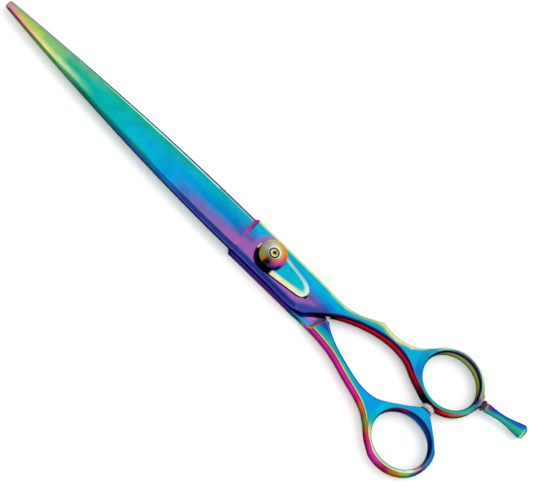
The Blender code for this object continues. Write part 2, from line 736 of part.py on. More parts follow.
def lock_screw(parts, cutters, finish):
    """The small socket screw in the dial's centre that keeps the dial on its thread."""
    head_low = WEB_Z + WEB_THICKNESS + FIT_GAP
    head_high = DIAL_TOP_Z - 0.25 * MM
    chamfer = 0.25 * MM
    profile = [
        (0, head_high),
        (LOCK_HEAD_RADIUS - chamfer, head_high),
        (LOCK_HEAD_RADIUS, head_high - chamfer),
        (LOCK_HEAD_RADIUS, head_low),
        (LOCK_SHANK_RADIUS, head_low),
        (LOCK_SHANK_RADIUS, WEB_Z - LOCK_SHANK_DEPTH),
        (0, WEB_Z - LOCK_SHANK_DEPTH),
    ]
    screw = turned("dial_lock_screw", profile, parts, finish, steps=24)
    bm = bmesh.new()
    socket, depth = 0.85 * MM, 0.5 * MM
    bmesh.ops.create_cone(bm, cap_ends=True, segments=6, radius1=socket, radius2=socket, depth=2 * depth)
    mesh = bpy.data.meshes.new("hex_socket")
    bm.to_mesh(mesh)
    bm.free()
    boolean(screw, hidden(add_object("hex_socket", mesh, cutters, location=(0, 0, head_high))))


def bumper(parts, finish):
    """Nylon stop with a plain stud, pressed into the thumb ring's crown."""
    base = FIT_GAP
    finger_ring_low = FINGER_RING[0].y - FINGER_RING[1].y
    top = finger_ring_low - CROWN_Y - FIT_GAP
    corner = 0.3 * MM
    profile = [
        (0, top),
        (BUMPER_RADIUS - corner, top),
        (BUMPER_RADIUS, top - corner),
        (BUMPER_RADIUS, base + corner),
        (BUMPER_RADIUS - corner, base),
        (BUMPER_STUD_RADIUS, base),
        (BUMPER_STUD_RADIUS, -BUMPER_STUD_LENGTH),
        (0, -BUMPER_STUD_LENGTH),
    ]
    made = turned("bumper", profile, parts, finish)
    point_along(made, (BUMPER_X, CROWN_Y, MIDDLE_Z), (0, 1, 0))


def tang(parts, steel, rubber):
    """The finger rest: a stud, a collar end, a waist and a flared, domed end. A rubber washer seats it."""
    washer_low = TANG_SEAT + FIT_GAP
    base = washer_low + TANG_WASHER_LENGTH + FIT_GAP
    bore = STUD_RADIUS + FIT_GAP
    collar = [
        (bore, TANG_WASHER_LENGTH),
        (TANG_WASHER_FACE_RADIUS, TANG_WASHER_LENGTH),
        (TANG_WASHER_RADIUS, TANG_WASHER_LENGTH * 0.7),
        (TANG_WASHER_RADIUS, TANG_WASHER_LENGTH * 0.3),
        (TANG_WASHER_FACE_RADIUS, 0),
        (bore, 0),
    ]
    washer = turned("tang_washer", collar, parts, rubber)
    point_along(washer, tang_point(washer_low), TANG_DIRECTION)
    profile = [(0, TANG_LENGTH)] + [(radius * MM, share * TANG_LENGTH) for share, radius in TANG_PROFILE]
    profile.append((STUD_RADIUS, 0))
    stud_end = TANG_SEAT - STUD_DEPTH - base
    profile += [(STUD_RADIUS, stud_end), (0, stud_end)]
    rest = turned("tang", profile, parts, steel)
    point_along(rest, tang_point(base), TANG_DIRECTION)


def main():
    clear_scene()
    parts = new_collection(COLLECTION)
    cutters = new_collection(COLLECTION + "_cutters")
    blue = material("coated_steel_blue", (0.02, 0.42, 0.62), 1.0, 0.12)
    violet = material("coated_steel_violet", (0.12, 0.2, 0.6), 1.0, 0.12)
    gold = material("coated_steel_gold", (0.75, 0.6, 0.2), 1.0, 0.12)
    teal = material("coated_steel_teal", (0.0, 0.5, 0.55), 1.0, 0.12)
    plain = material("spring_steel", (0.6, 0.6, 0.62), 1.0, 0.3)
    nylon = material("clear_nylon", (0.82, 0.84, 0.82), 0.0, 0.25)
    rubber = material("black_rubber", (0.015, 0.015, 0.015), 0.0, 0.5)
    finger_half(parts, cutters, blue)
    thumb_half(parts, cutters, violet)
    pivot_screw(parts, cutters, gold)
    washers(parts, nylon, plain)
    tension_leaf(parts, cutters, teal)
    tension_dial(parts, gold)
    lock_screw(parts, cutters, gold)
    bumper(parts, nylon)
    tang(parts, violet, rubber)


main()
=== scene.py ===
"""Looks of the barber shears: finely forged halves, small parts, rainbow coated steel, nylon and rubber.

Everything is in metres in the row frame. The numbers of the materials' colour bands are in millimetres.
"""

import collections
import math

import bmesh
import bpy
import numpy as np
from mathutils import Matrix, Vector, geometry


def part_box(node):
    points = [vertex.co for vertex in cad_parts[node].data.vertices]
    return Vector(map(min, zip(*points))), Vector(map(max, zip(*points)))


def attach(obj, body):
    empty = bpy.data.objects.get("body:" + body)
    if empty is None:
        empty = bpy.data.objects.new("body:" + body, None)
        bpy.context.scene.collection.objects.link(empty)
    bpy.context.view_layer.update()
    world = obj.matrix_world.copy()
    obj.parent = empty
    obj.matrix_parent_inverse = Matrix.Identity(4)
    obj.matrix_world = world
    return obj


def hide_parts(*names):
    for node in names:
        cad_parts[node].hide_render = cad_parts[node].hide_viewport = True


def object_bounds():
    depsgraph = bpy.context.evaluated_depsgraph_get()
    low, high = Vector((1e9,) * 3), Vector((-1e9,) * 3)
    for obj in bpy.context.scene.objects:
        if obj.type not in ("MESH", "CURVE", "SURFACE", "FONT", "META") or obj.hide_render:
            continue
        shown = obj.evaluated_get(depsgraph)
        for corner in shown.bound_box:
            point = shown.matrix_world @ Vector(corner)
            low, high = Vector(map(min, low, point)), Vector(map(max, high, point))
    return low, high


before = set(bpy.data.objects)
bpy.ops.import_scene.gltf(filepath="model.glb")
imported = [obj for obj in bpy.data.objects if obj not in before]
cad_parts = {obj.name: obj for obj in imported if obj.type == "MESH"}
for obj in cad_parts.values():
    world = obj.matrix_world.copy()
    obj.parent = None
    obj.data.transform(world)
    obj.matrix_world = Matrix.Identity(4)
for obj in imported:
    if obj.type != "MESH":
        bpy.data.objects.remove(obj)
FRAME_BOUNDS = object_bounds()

MM = 0.001

# Sizes of the forged halves
TIP_X = -134.0 * MM
HALF_THICKNESS = 3.0 * MM
TIP_THICKNESS = 1.1 * MM
RIDE_GAP = 0.3 * MM
FIT_GAP = 0.3 * MM
SHANK_THICKNESS = 5.2 * MM
BLADE_OVERLAP = 0.5 * MM
CHOIL_X = -11.8 * MM
CHOIL_STEP = 0.5 * MM
EDGE_START_X = CHOIL_X - 1.6 * MM
SPINE_END_X = 9.0 * MM
PAD_END_X = 24.0 * MM
RING_BAND = 2.35 * MM
THUMB_RIDE_Z = HALF_THICKNESS
FINGER_RIDE_Z = THUMB_RIDE_Z + RIDE_GAP
FACE_Z = FINGER_RIDE_Z + HALF_THICKNESS
MIDDLE_Z = THUMB_RIDE_Z + RIDE_GAP / 2
SHANK_RISE = SHANK_THICKNESS / 2 + RIDE_GAP / 2
SHANK_FACE = SHANK_THICKNESS / 2 - RIDE_GAP / 2
FINGER_RING = (Vector((80.3, 16.1)) * MM, Vector((13.75, 13.15)) * MM)
THUMB_RING = (Vector((81.1, -15.8)) * MM, Vector((14.2, 13.6)) * MM)

# Small parts
PIVOT_HOLE_RADIUS = 2.7 * MM
HEAD_HOLE_RADIUS = 4.3 * MM
DIAL_RADIUS = 5.65 * MM
LEAF_RADIUS = 6.0 * MM
LEAF_HOLE_RADIUS = 2.2 * MM
LEAF_Z = FACE_Z + FIT_GAP
LEAF_THICKNESS = 0.8 * MM
LEAF_SECTION = ((1.12, 0), (1.0, 0.04), (0.55, 0.42), (0.1, 0.86), (0, 1.0))
TONGUE_SIZE = Vector((0.7, 1.6, 1.9)) * MM
TONGUE_CENTRE = Vector((18.5, -0.6, 5.6)) * MM
DIAL_Z = LEAF_Z + LEAF_THICKNESS + FIT_GAP
DIAL_RIM_Z = FACE_Z + 3.2 * MM
DIAL_TOP_Z = FACE_Z + 4.7 * MM
WEB_Z = DIAL_Z + 1.7 * MM
BUMPER_X = 81.0 * MM
CROWN_Y = 0.1 * MM
CROWN_HALF_LENGTH = 1.7 * MM
BUMPER_RADIUS = 2.55 * MM
TANG_ANGLE = math.radians(11.4)
TANG_DIRECTION = Vector((math.cos(TANG_ANGLE), math.sin(TANG_ANGLE), 0))
TANG_SEAT = 14.2 * MM
TANG_WASHER_LENGTH = 1.4 * MM
TANG_LENGTH = 17.9 * MM
TANG_BASE = TANG_SEAT + FIT_GAP + TANG_WASHER_LENGTH + FIT_GAP

DOME_POWER = 2.2
HEXAGON_REACH = 0.87
FLUTES = 14
FLUTE_DEPTH = 0.035

# Fineness of the meshes
STEP = 0.9 * MM
FINE_STEP = STEP / 2
TANG_STEP = 0.5 * MM
GRID = 1.6 * MM
RIM_STEPS = 5
RIM_MARGIN = 0.1 * MM
MERGE_DISTANCE = 1e-7
TURN_STEPS = 96
DOME_STEPS = 15
SMOOTH_ANGLE = math.radians(30)

# Surfaces. The last two are in millimetres along x.
BUMP_DEPTH = 0.02 * MM
WAVER = 2.5
CHOIL_BLEND = (-12.3, -11.7)

# Camera, light and floor. The camera's axes are seen from the object.
CAMERA_BACK = Vector((-0.0435, -0.4675, 0.883)).normalized()
CAMERA_RIGHT = Vector((0.715, 0.6027, 0.3543)).normalized()
CAMERA_DISTANCE = 5.0
CAMERA_SENSOR = 36.0
SEEN_WIDTH = 196.0 * MM
AIM_RIGHT = -0.3 * MM
AIM_UP = 4.79 * MM
KEY_DIRECTION = Vector((0.45, 0.5, 0.85)).normalized()
KEY_TARGET = Vector((-10.0, 0.0, 0.0)) * MM
KEY_DISTANCE = 0.9
KEY_SIZE = 0.8
KEY_POWER = 2.6
SKY_AT_HORIZON = 0.75
SKY_OVERHEAD = 1.1
SKY_FULL_AT = 0.8
FLOOR_SIZE = 3.0
FLOOR_CELLS = 12
FLOOR_GAP = 0.2 * MM
FLOOR_GLOW = 0.16


# Outlines in plan. A half is drawn with its spine towards -q and its cutting edge towards +q: q is y on
# the finger half and -y on the thumb half. The closed tips lie a little towards +Y, so the finger half's
# blade leans towards its edge and the thumb half's towards its spine.

Half = collections.namedtuple("Half", "lean pad_width ring")
FINGER = Half(-1, 7.8 * MM, FINGER_RING)
THUMB = Half(1, 8.45 * MM, THUMB_RING)
BLADE_WIDTH = 8.4 * MM
BLADE_TAPER = 6.5 * MM
TAPER_POWER = 1.75
TIP_SHIFT = 0.85 * MM
SHIFT_POWER = 1.8
TAPER_START_X = -20.0 * MM
TIP_CORNER = 0.9 * MM


def step_between(low, high, value):
    """0 below low, 1 above high, and a smooth rise between them."""
    share = min(1.0, max(0.0, (value - low) / (high - low)))
    return share * share * (3 - 2 * share)


def spline(points, step=STEP):
    """Points about a step apart on a smooth curve through the given ones. The last one is left out."""
    knots = [Vector(p) for p in points]
    before = [2 * knots[0] - knots[1]] + knots[:-1]
    after = knots[1:] + [2 * knots[-1] - knots[-2]]
    slopes = [(b - a) / 2 for a, b in zip(before, after)]
    made = []
    for i in range(len(knots) - 1):
        start, end = knots[i], knots[i + 1]
        count = max(1, round((end - start).length / step))
        for k in range(count):
            t = k / count
            t2, t3 = t * t, t * t * t
            point = start * (2 * t3 - 3 * t2 + 1) + end * (3 * t2 - 2 * t3)
            point += slopes[i] * (t3 - 2 * t2 + t) + slopes[i + 1] * (t3 - t2)
            made.append(point)
    return made


def arc(centre, radii, first_degrees, last_degrees, step=STEP):
    """Points on part of an ellipse. The last one is left out."""
    turn = math.radians(last_degrees - first_degrees)
    count = max(3, round(abs(turn) * max(radii) / step))
    angles = [math.radians(first_degrees) + turn * k / count for k in range(count)]
    return [Vector((centre[0] + radii[0] * math.cos(a), centre[1] + radii[1] * math.sin(a))) for a in angles]


def millimetres(*points):
    return [Vector(p) * MM for p in points]


# Both halves: the spine side from the pad down to the shank
SHOULDER = millimetres(
    (10, -8.6), (17, -8.55), (20.5, -8.1), (23.2, -6.6), (25.5, -4.4), (28.7, -1.75), (31.1, 0.1)
)


def along_taper(x):
    """0 near the pivot, 1 at the tip."""
    return max(0.0, TAPER_START_X - x) / (TAPER_START_X - TIP_X)


def spine_width(x, half):
    """Distance from the centre line to a blade's spine."""
    share = along_taper(x)
    return BLADE_WIDTH - BLADE_TAPER * share**TAPER_POWER + half.lean * TIP_SHIFT * share**SHIFT_POWER


def edge_width(x, half):
    """Distance from the centre line to a blade's cutting edge."""
    return spine_width(x, half) - BLADE_OVERLAP - 2 * half.lean * TIP_SHIFT * along_taper(x) ** SHIFT_POWER


def blade_run(width, half, start, end, side):
    """Points along a spine or a cutting edge, from start to end."""
    count = max(2, round(abs(end - start) / STEP))
    stations = [start + (end - start) * k / count for k in range(count)]
    return [Vector((x, side * width(x, half))) for x in stations]


def blade_outline_start(half):
    """The tip and the spine, as far as the pivot."""
    low, high = -spine_width(TIP_X, half), edge_width(TIP_X, half)
    corner, part = TIP_CORNER, TIP_CORNER * 0.3
    insets = ((corner, high), (part, high - part), (0, high - corner), (0, low + corner), (part, low + part))
    tip = [Vector((TIP_X + inset, q)) for inset, q in insets]
    return tip + blade_run(spine_width, half, TIP_X + TIP_CORNER, SPINE_END_X, -1)


def blade_outline_end(half):
    """The pad's edge, the choil and the cutting edge, as far as the tip."""
    length = CHOIL_X - PAD_END_X
    count = round(-length / STEP)
    pad = [Vector((PAD_END_X + length * k / count, half.pad_width)) for k in range(count + 1)]
    pad.append(Vector((CHOIL_X - CHOIL_STEP, edge_width(CHOIL_X, half))))
    return pad + blade_run(edge_width, half, EDGE_START_X, TIP_X + TIP_CORNER, 1)


def finger_outline():
    """The finger half: a finger notch on its shank, and a flat seat for the tang on its ring."""
    centre, radii = FINGER.ring
    inner_shank = SHOULDER + millimetres(
        (34.4, 2.7), (39.3, 5.4), (44.2, 7.5), (49.1, 9.0), (54.0, 9.85), (58.9, 9.9), (63.8, 8.9),
        (68.7, 6.5),
    )
    inner_shank.append(arc(centre, radii, -116, -100)[0])
    outer_shank = [arc(centre, radii, 108, 120)[0]] + millimetres(
        (71.0, 25.45), (66.8, 20.4), (63.2, 17.0), (58.9, 14.8), (54.0, 13.8), (50.4, 13.9), (47.5, 14.4)
    )
    notch_to_pad = millimetres((47.5, 14.4), (44.2, 12.5), (39.3, 9.8), (34.4, 8.4), (29.5, 7.85), (24, 7.8))
    seat_half_degrees = 9
    seat = math.degrees(TANG_ANGLE)
    ring = arc(centre, radii, -116, seat - 2 * seat_half_degrees)
    for degrees in (-seat_half_degrees, seat_half_degrees):
        angle = math.radians(seat + degrees)
        reach = TANG_SEAT / math.cos(math.radians(seat_half_degrees))
        ring.append(centre + Vector((math.cos(angle), math.sin(angle))) * reach)
    ring += arc(centre, radii, seat + 2 * seat_half_degrees, 108)
    handle = spline(inner_shank) + ring + spline(outer_shank) + spline(notch_to_pad)
    return blade_outline_start(FINGER) + handle + blade_outline_end(FINGER)


def thumb_outline():
    """The thumb half, drawn with q = -y: its ring has a crown that carries the bumper."""
    centre = Vector((THUMB.ring[0].x, -THUMB.ring[0].y))
    radii = THUMB.ring[1]
    crown = [Vector((BUMPER_X + side * CROWN_HALF_LENGTH, -CROWN_Y)) for side in (-1, 1)]
    inner_shank = SHOULDER + millimetres(
        (34.4, 3.2), (39.3, 5.95), (44.2, 7.8), (49.1, 9.3), (54.0, 10.6), (58.9, 11.2), (63.8, 10.6),
        (68.2, 8.2), (71.7, 5.6), (74.6, 3.5), (77.4, 1.1),
    )
    past_crown = millimetres((84.1, 1.0), (86.4, 2.9), (90.0, 6.0))
    ring = arc(centre, radii, -25, 112)
    outer_shank = [arc(centre, radii, 112, 120)[0]] + millimetres(
        (70.9, 25.0), (67.0, 21.0), (63.2, 18.1), (58.9, 16.1), (54.0, 14.6), (49.1, 13.1), (44.2, 11.4),
        (39.3, 10.1), (34.4, 9.4), (29.5, 8.9), (24, 8.45),
    )
    handle = spline(inner_shank + crown[:1]) + crown[:1] + spline(crown[1:] + past_crown + ring[:1])
    handle += ring + spline(outer_shank)
    return blade_outline_start(THUMB) + handle + blade_outline_end(THUMB)


# Heights of a half's two faces, measured from its own ride plane.

SPINE_BEVEL_TIP = 0.5 * MM
SPINE_BEVEL_PIVOT = 1.7 * MM
SPINE_DROP = 0.5
HONE_WIDTH = 0.9 * MM
EDGE_THICKNESS = 0.2 * MM
CHOIL_RAMP = 1.3 * MM
BEVEL_CREASE_END_X = 22.0 * MM
RAMP_START = Vector((27.1, 9.2)) * MM
RAMP_END = Vector((30.2, 2.1)) * MM
RAMP_LENGTH = 1.4 * MM
WEDGE_FALL = 0.5
WEDGE_POWER = 1.6
HONE_SLOPE = 1.1
BEVEL_END = (17.0 * MM, 24.0 * MM)
PAD_TO_SHANK = (16.0 * MM, 36.0 * MM)

# A rim's size in millimetres: at the pad, what the shank adds and what the ring adds
RIM_WIDTH = (0.45, 1.0, -0.65)
RIM_HEIGHT = (0.35, 1.4, 0.2)
RIM_TO_SHANK = (20.0 * MM, 34.0 * MM)
RIM_TO_RING = (58.0 * MM, 69.0 * MM)
BLADE_RIM = 0.12 * MM
BLADE_RIM_SHARE = 0.3


def bevel_width(x):
    """Width in plan of the sloping band along the spine."""
    share = min(1.0, max(0.0, (x - TIP_X) / (CHOIL_X - TIP_X)))
    return SPINE_BEVEL_TIP + (SPINE_BEVEL_PIVOT - SPINE_BEVEL_TIP) * share


def wedge_thickness(x, q, half):
    """The blade's cross-section: thickest at the spine, a gentle convex fall, then the hone bevel."""
    spine, edge = spine_width(x, half), edge_width(x, half)
    along = max(0.0, CHOIL_X - x) / (CHOIL_X - TIP_X)
    full = HALF_THICKNESS + (TIP_THICKNESS - HALF_THICKNESS) * along
    share = min(1.0, max(0.0, (q + spine) / (edge + spine)))
    wedge = full * (1 - WEDGE_FALL * share**WEDGE_POWER)
    to_edge = max(0.0, edge - q)
    hone = EDGE_THICKNESS + to_edge * HONE_SLOPE
    return min(wedge, hone) if to_edge < HONE_WIDTH * 2 else wedge


def outer_height(x, q, half):
    """The outer face: wedge blade, flat pad, then the shank and ring."""
    blade = wedge_thickness(x, q, half)
    height = HALF_THICKNESS + (blade - HALF_THICKNESS) * step_between(CHOIL_X, CHOIL_X - CHOIL_RAMP, x)
    from_spine = max(0.0, q + spine_width(x, half))
    bevel = SPINE_DROP * height * (1 - step_between(*BEVEL_END, x))
    height -= bevel * max(0.0, 1 - from_spine / bevel_width(x))
    return height + (SHANK_FACE - height) * step_between(*PAD_TO_SHANK, x)


def ramp_x(q):
    """Where the inner face leaves the ride plane."""
    slope = (RAMP_END.x - RAMP_START.x) / (RAMP_END.y - RAMP_START.y)
    return RAMP_START.x + slope * (q - RAMP_START.y)


def inner_height(x, q):
    """The inner face: flat on the ride plane, then up the ramp to the shank's other side."""
    share = min(1.0, max(0.0, (x - ramp_x(q)) / RAMP_LENGTH))
    return -SHANK_RISE * share


def rim_size(x, q, half):
    """Width and height of the rounding where a face meets the wall."""
    if x < CHOIL_X:
        size = min(BLADE_RIM, BLADE_RIM_SHARE * (outer_height(x, q, half) - inner_height(x, q)))
        return size, size
    to_shank, to_ring = step_between(*RIM_TO_SHANK, x), step_between(*RIM_TO_RING, x)
    return [(pad + shank * to_shank + ring * to_ring) * MM for pad, shank, ring in (RIM_WIDTH, RIM_HEIGHT)]


def crease_lines(half):
    """Lines in plan where a face turns, which the triangles follow."""
    start, end = TIP_X + 2 * TIP_CORNER, CHOIL_X - CHOIL_RAMP
    spine = blade_run(spine_width, half, start, BEVEL_CREASE_END_X, -1)
    bevel = [Vector((p.x, p.y + bevel_width(p.x))) for p in spine]
    edge = blade_run(edge_width, half, start, end, 1)
    hone = [Vector((p.x, p.y - HONE_WIDTH)) for p in edge]
    choil = [[Vector((x, q * MM)) for q in range(-6, 7)] for x in (CHOIL_X - 0.05 * MM, CHOIL_X - CHOIL_RAMP)]
    on_ramp = [q * MM for q in (0.6, 2, 3.5, 5, 6, 7)]
    ramp = [[Vector((ramp_x(q) + shift, q)) for q in on_ramp] for shift in (0, RAMP_LENGTH)]
    return [bevel, hone, *choil, *ramp]


# A half is one closed skin: two faces over the same plan, and a rounded rim round every loop of it.


def inward_normals(loop):
    normals = []
    for before, point, after in zip(loop[-1:] + loop, loop, loop[1:] + loop[:1]):
        along = (after - point).normalized() + (point - before).normalized()
        normals.append(Vector((-along.y, along.x)).normalized())
    return normals


def inside(points, loops):
    """Which of the points (an array of x, y) lie inside the loops."""
    points = np.asarray(points, dtype=float).reshape(-1, 2)
    crossings = np.zeros(len(points), dtype=int)
    for loop in loops:
        for i, b in enumerate(loop):
            a = loop[i - 1]
            if a[1] == b[1]:
                continue
            spans = (a[1] > points[:, 1]) != (b[1] > points[:, 1])
            cut = a[0] + (points[:, 1] - a[1]) / (b[1] - a[1]) * (b[0] - a[0])
            crossings += spans & (points[:, 0] < cut)
    return crossings % 2 == 1


def faces_inside(points, faces, loops):
    """The faces whose middle lies inside the loops."""
    centres = [tuple(sum((points[i] for i in face), Vector((0, 0))) / len(face)) for face in faces]
    return [face for face, within in zip(faces, inside(centres, loops)) if within]


def clear_of(points, others, distance):
    """Which of the points are farther than that from all the others."""
    points, others = np.asarray(points), np.asarray(others)
    gaps = np.hypot(points[:, None, 0] - others[None, :, 0], points[:, None, 1] - others[None, :, 1])
    return gaps.min(axis=1) > distance


def plan_grid(loops):
    """Points of a square grid that lie well inside the loops."""
    outline = np.array(loops[0])
    low, high = outline.min(axis=0) + GRID / 2, outline.max(axis=0)
    xs, ys = np.arange(low[0], high[0], GRID), np.arange(low[1], high[1], GRID)
    points = np.array([(x, y) for x in xs for y in ys])
    points = points[inside(points, loops)]
    return points[clear_of(points, [p for loop in loops for p in loop], 0.6 * GRID)]


def walls(bm, loops, rows_round):
    """Faces round every loop of a plan. Gives the vertices and edges that bound the two flat faces."""
    tops, bottoms, edges, flat_loops = [], [], [], []
    for loop in loops:
        first = len(tops)
        rows = rows_round(loop)
        for upper, lower in zip(rows, rows[1:]):
            for i in range(len(loop)):
                bm.faces.new((upper[i - 1], lower[i - 1], lower[i], upper[i]))
        tops += rows[0]
        bottoms += rows[-1]
        flat_loops.append([tuple(v.co.xy) for v in rows[0]])
        edges += [(first + i, first + (i + 1) % len(loop)) for i in range(len(loop))]
    return tops, bottoms, edges, flat_loops


def rim_rows(bm, loop, outer, inner, rim):
    """Rings of vertices from the outer face, round the rim and down to the inner face."""
    quarter = [math.pi / 2 * k / RIM_STEPS for k in range(RIM_STEPS + 1)]
    rows = [[] for _ in range(2 * len(quarter) + 2)]
    for point, normal in zip(loop, inward_normals(loop)):
        width, height = rim(point.x, point.y)
        flat = point + normal * width
        within = flat + normal * RIM_MARGIN
        rows[0].append(bm.verts.new((within.x, within.y, outer(within.x, within.y))))
        rows[-1].append(bm.verts.new((within.x, within.y, inner(within.x, within.y))))
        for k, angle in enumerate(quarter):
            inset = point + normal * width * (1 - math.sin(angle))
            drop = height * (1 - math.cos(angle))
            z_outer = outer(flat.x, flat.y) - drop
            z_inner = inner(flat.x, flat.y) + drop
            rows[k + 1].append(bm.verts.new((inset.x, inset.y, z_outer)))
            rows[-2 - k].append(bm.verts.new((inset.x, inset.y, z_inner)))
    return rows


def forged_mesh(name, loops, creases, outer, inner, rim):
    """A closed skin: two faces over the same plan, whose triangles follow the creases, and rounded rims."""
    bm = bmesh.new()
    skin = walls(bm, loops, lambda loop: rim_rows(bm, loop, outer, inner, rim))
    tops, bottoms, edges, flat_loops = skin
    plan = [v.co.xy for v in tops]
    for line in creases:
        kept = [p for p, within in zip(line, inside([tuple(p) for p in line], flat_loops)) if within]
        edges += [(len(plan) + i, len(plan) + i + 1) for i in range(len(kept) - 1)]
        plan += kept
    free = plan_grid(flat_loops)
    free = free[clear_of(free, [tuple(p) for p in plan], 0.5 * GRID)]
    plan += [Vector(p) for p in free]
    points, _, faces, sources, _, _ = geometry.delaunay_2d_cdt(plan, edges, [], 0, MERGE_DISTANCE)
    upper, lower = [], []
    for point, source in zip(points, sources):
        rim_vertex = next((s for s in source if s < len(tops)), None)
        if rim_vertex is None:
            upper.append(bm.verts.new((point.x, point.y, outer(point.x, point.y))))
            lower.append(bm.verts.new((point.x, point.y, inner(point.x, point.y))))
        else:
            upper.append(tops[rim_vertex])
            lower.append(bottoms[rim_vertex])
    for face in faces_inside(points, faces, flat_loops):
        bm.faces.new([upper[i] for i in face])
        bm.faces.new([lower[i] for i in reversed(face)])
    bmesh.ops.delete(bm, geom=[v for v in bm.verts if not v.link_faces], context="VERTS")
    return mesh_of(name, bm)


def mesh_of(name, bm):
    """The finished mesh: normals outwards, smooth but for its sharp edges."""
    bmesh.ops.recalc_face_normals(bm, faces=bm.faces)
    mesh = bpy.data.meshes.new(name)
    bm.to_mesh(mesh)
    bm.free()
    mesh.shade_smooth()
    mesh.set_sharp_from_angle(angle=SMOOTH_ANGLE)
    return mesh


def piece(name, mesh, finish, node, body):
    """A visible piece that stands for a CAD node, kept within that node's box."""
    low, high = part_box(node)
    for vertex in mesh.vertices:
        for axis in range(3):
            vertex.co[axis] = min(high[axis], max(low[axis], vertex.co[axis]))
    mesh.materials.append(finish)
    obj = bpy.data.objects.new(name, mesh)
    bpy.context.scene.collection.objects.link(obj)
    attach(obj, body)
    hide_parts(node)


def hole(centre, radii, step=STEP):
    return arc(centre, radii, 0, 360, step)[::-1]


def forging(name, half, outline, ring_centre, pivot_hole, ride):
    """One half as a closed skin, drawn in x and q above its ride plane's height."""
    loops = [
        outline,
        hole(ring_centre, half.ring[1] - Vector((RING_BAND, RING_BAND))),
        hole((0, 0), (pivot_hole, pivot_hole)),
    ]
    return forged_mesh(
        name,
        loops,
        crease_lines(half),
        lambda x, q: ride + outer_height(x, q, half),
        lambda x, q: ride + inner_height(x, q),
        lambda x, q: rim_size(x, q, half),
    )


def finger_forging():
    centre = FINGER_RING[0]
    return forging("finger_forging", FINGER, finger_outline(), centre, PIVOT_HOLE_RADIUS, FINGER_RIDE_Z)


def thumb_forging():
    """Drawn face up in x and q, then turned over on to its side of the pivot."""
    centre = (THUMB_RING[0].x, -THUMB_RING[0].y)
    mesh = forging("thumb_forging", THUMB, thumb_outline(), centre, HEAD_HOLE_RADIUS, -THUMB_RIDE_Z)
    mesh.transform(Matrix.Rotation(math.pi, 4, "X"))
    return mesh


# Turned pieces: a profile of (radius, height) pairs, spun about the axis.


def round_shape(angle):
    return 1.0


def hexagon_shape(angle):
    half_side = math.pi / 6
    turned_by = (angle + half_side) % (2 * half_side) - half_side
    return HEXAGON_REACH / math.cos(turned_by)


def fluted_shape(angle):
    return 1 - FLUTE_DEPTH * (1 - abs(math.cos(FLUTES * angle)))


def turned_mesh(name, profile, place=(0, 0, 0), direction=(0, 0, 1)):
    """Profile points are (radius, height) or (radius, height, shape). Radius 0 is a point on the axis."""
    bm = bmesh.new()
    rows = []
    for radius, height, *shape in profile:
        around = shape[0] if shape else round_shape
        row = []
        for k in range(TURN_STEPS if radius > 0 else 1):
            angle = 2 * math.pi * k / TURN_STEPS
            reach = radius * around(angle)
            row.append(bm.verts.new((reach * math.cos(angle), reach * math.sin(angle), height)))
        rows.append(row)
    pairs = list(zip(rows, rows[1:]))
    if profile[0][0] > 0:
        pairs.append((rows[-1], rows[0]))
    for upper, lower in pairs:
        for k in range(TURN_STEPS):
            corners = [upper[k % len(upper)], lower[k % len(lower)]]
            corners += [lower[(k + 1) % len(lower)], upper[(k + 1) % len(upper)]]
            bm.faces.new(list(dict.fromkeys(corners)))
    rotation = Vector(direction).to_track_quat("Z", "Y").to_matrix().to_4x4()
    bmesh.ops.transform(bm, matrix=Matrix.Translation(place) @ rotation, verts=bm.verts)
    return mesh_of(name, bm)


def dial_mesh():
    """The domed thumb nut, with its spring recess, thread, web and the mouth over the lock screw."""
    mouth, bore, recess, thread, hole_radius = 2.5 * MM, 2.05 * MM, 4.45 * MM, 2.2 * MM, 1.1 * MM
    recess_top, web_top = DIAL_Z + 0.9 * MM, WEB_Z + 0.5 * MM
    dome_rise = DIAL_TOP_Z - DIAL_RIM_Z
    profile = []
    for k in range(DOME_STEPS + 1):
        radius = mouth + (DIAL_RADIUS - 0.25 * MM - mouth) * k / DOME_STEPS
        share = (radius - mouth) / (DIAL_RADIUS - mouth)
        profile.append((radius, DIAL_TOP_Z - dome_rise * share**DOME_POWER))
    profile += [
        (DIAL_RADIUS - 0.07 * MM, DIAL_RIM_Z - 0.12 * MM),
        (DIAL_RADIUS, DIAL_RIM_Z - 0.35 * MM),
        (DIAL_RADIUS, DIAL_Z + 0.2 * MM),
        (DIAL_RADIUS - 0.06 * MM, DIAL_Z + 0.06 * MM),
        (DIAL_RADIUS - 0.2 * MM, DIAL_Z),
        (recess, DIAL_Z),
        (recess, recess_top),
        (thread, recess_top),
        (thread, WEB_Z),
        (hole_radius, WEB_Z),
        (hole_radius, web_top),
        (bore, web_top),
        (bore, DIAL_TOP_Z - 0.4 * MM),
    ]
    return turned_mesh("dial_dome", profile)


def lock_screw_mesh():
    high, low = DIAL_TOP_Z - 0.25 * MM, WEB_Z + 0.8 * MM
    socket, head, shank = 0.75 * MM, 1.6 * MM, 0.8 * MM
    socket_floor, end = high - 0.5 * MM, WEB_Z - 1.6 * MM
    profile = [
        (0, socket_floor),
        (socket, socket_floor, hexagon_shape),
        (socket, high - 0.08 * MM, hexagon_shape),
        (0.95 * MM, high),
        (1.35 * MM, high),
        (1.53 * MM, high - 0.08 * MM),
        (head, high - 0.25 * MM),
        (head, low),
        (shank, low),
        (shank, end),
        (0, end),
    ]
    return turned_mesh("lock_screw_socket_head", profile)


def pivot_screw_mesh():
    """From the threaded end under the dial, by the neck, to the flush head at the back."""
    profile = millimetres(
        (0, 9.1), (1.65, 9.1), (1.9, 8.85), (1.9, 6.3), (2.4, 6.3), (2.4, 1.0), (4.0, 1.0), (4.0, 0.22),
        (3.93, 0.07), (3.78, 0), (0, 0),
    )
    return turned_mesh("pivot_screw_head", profile)


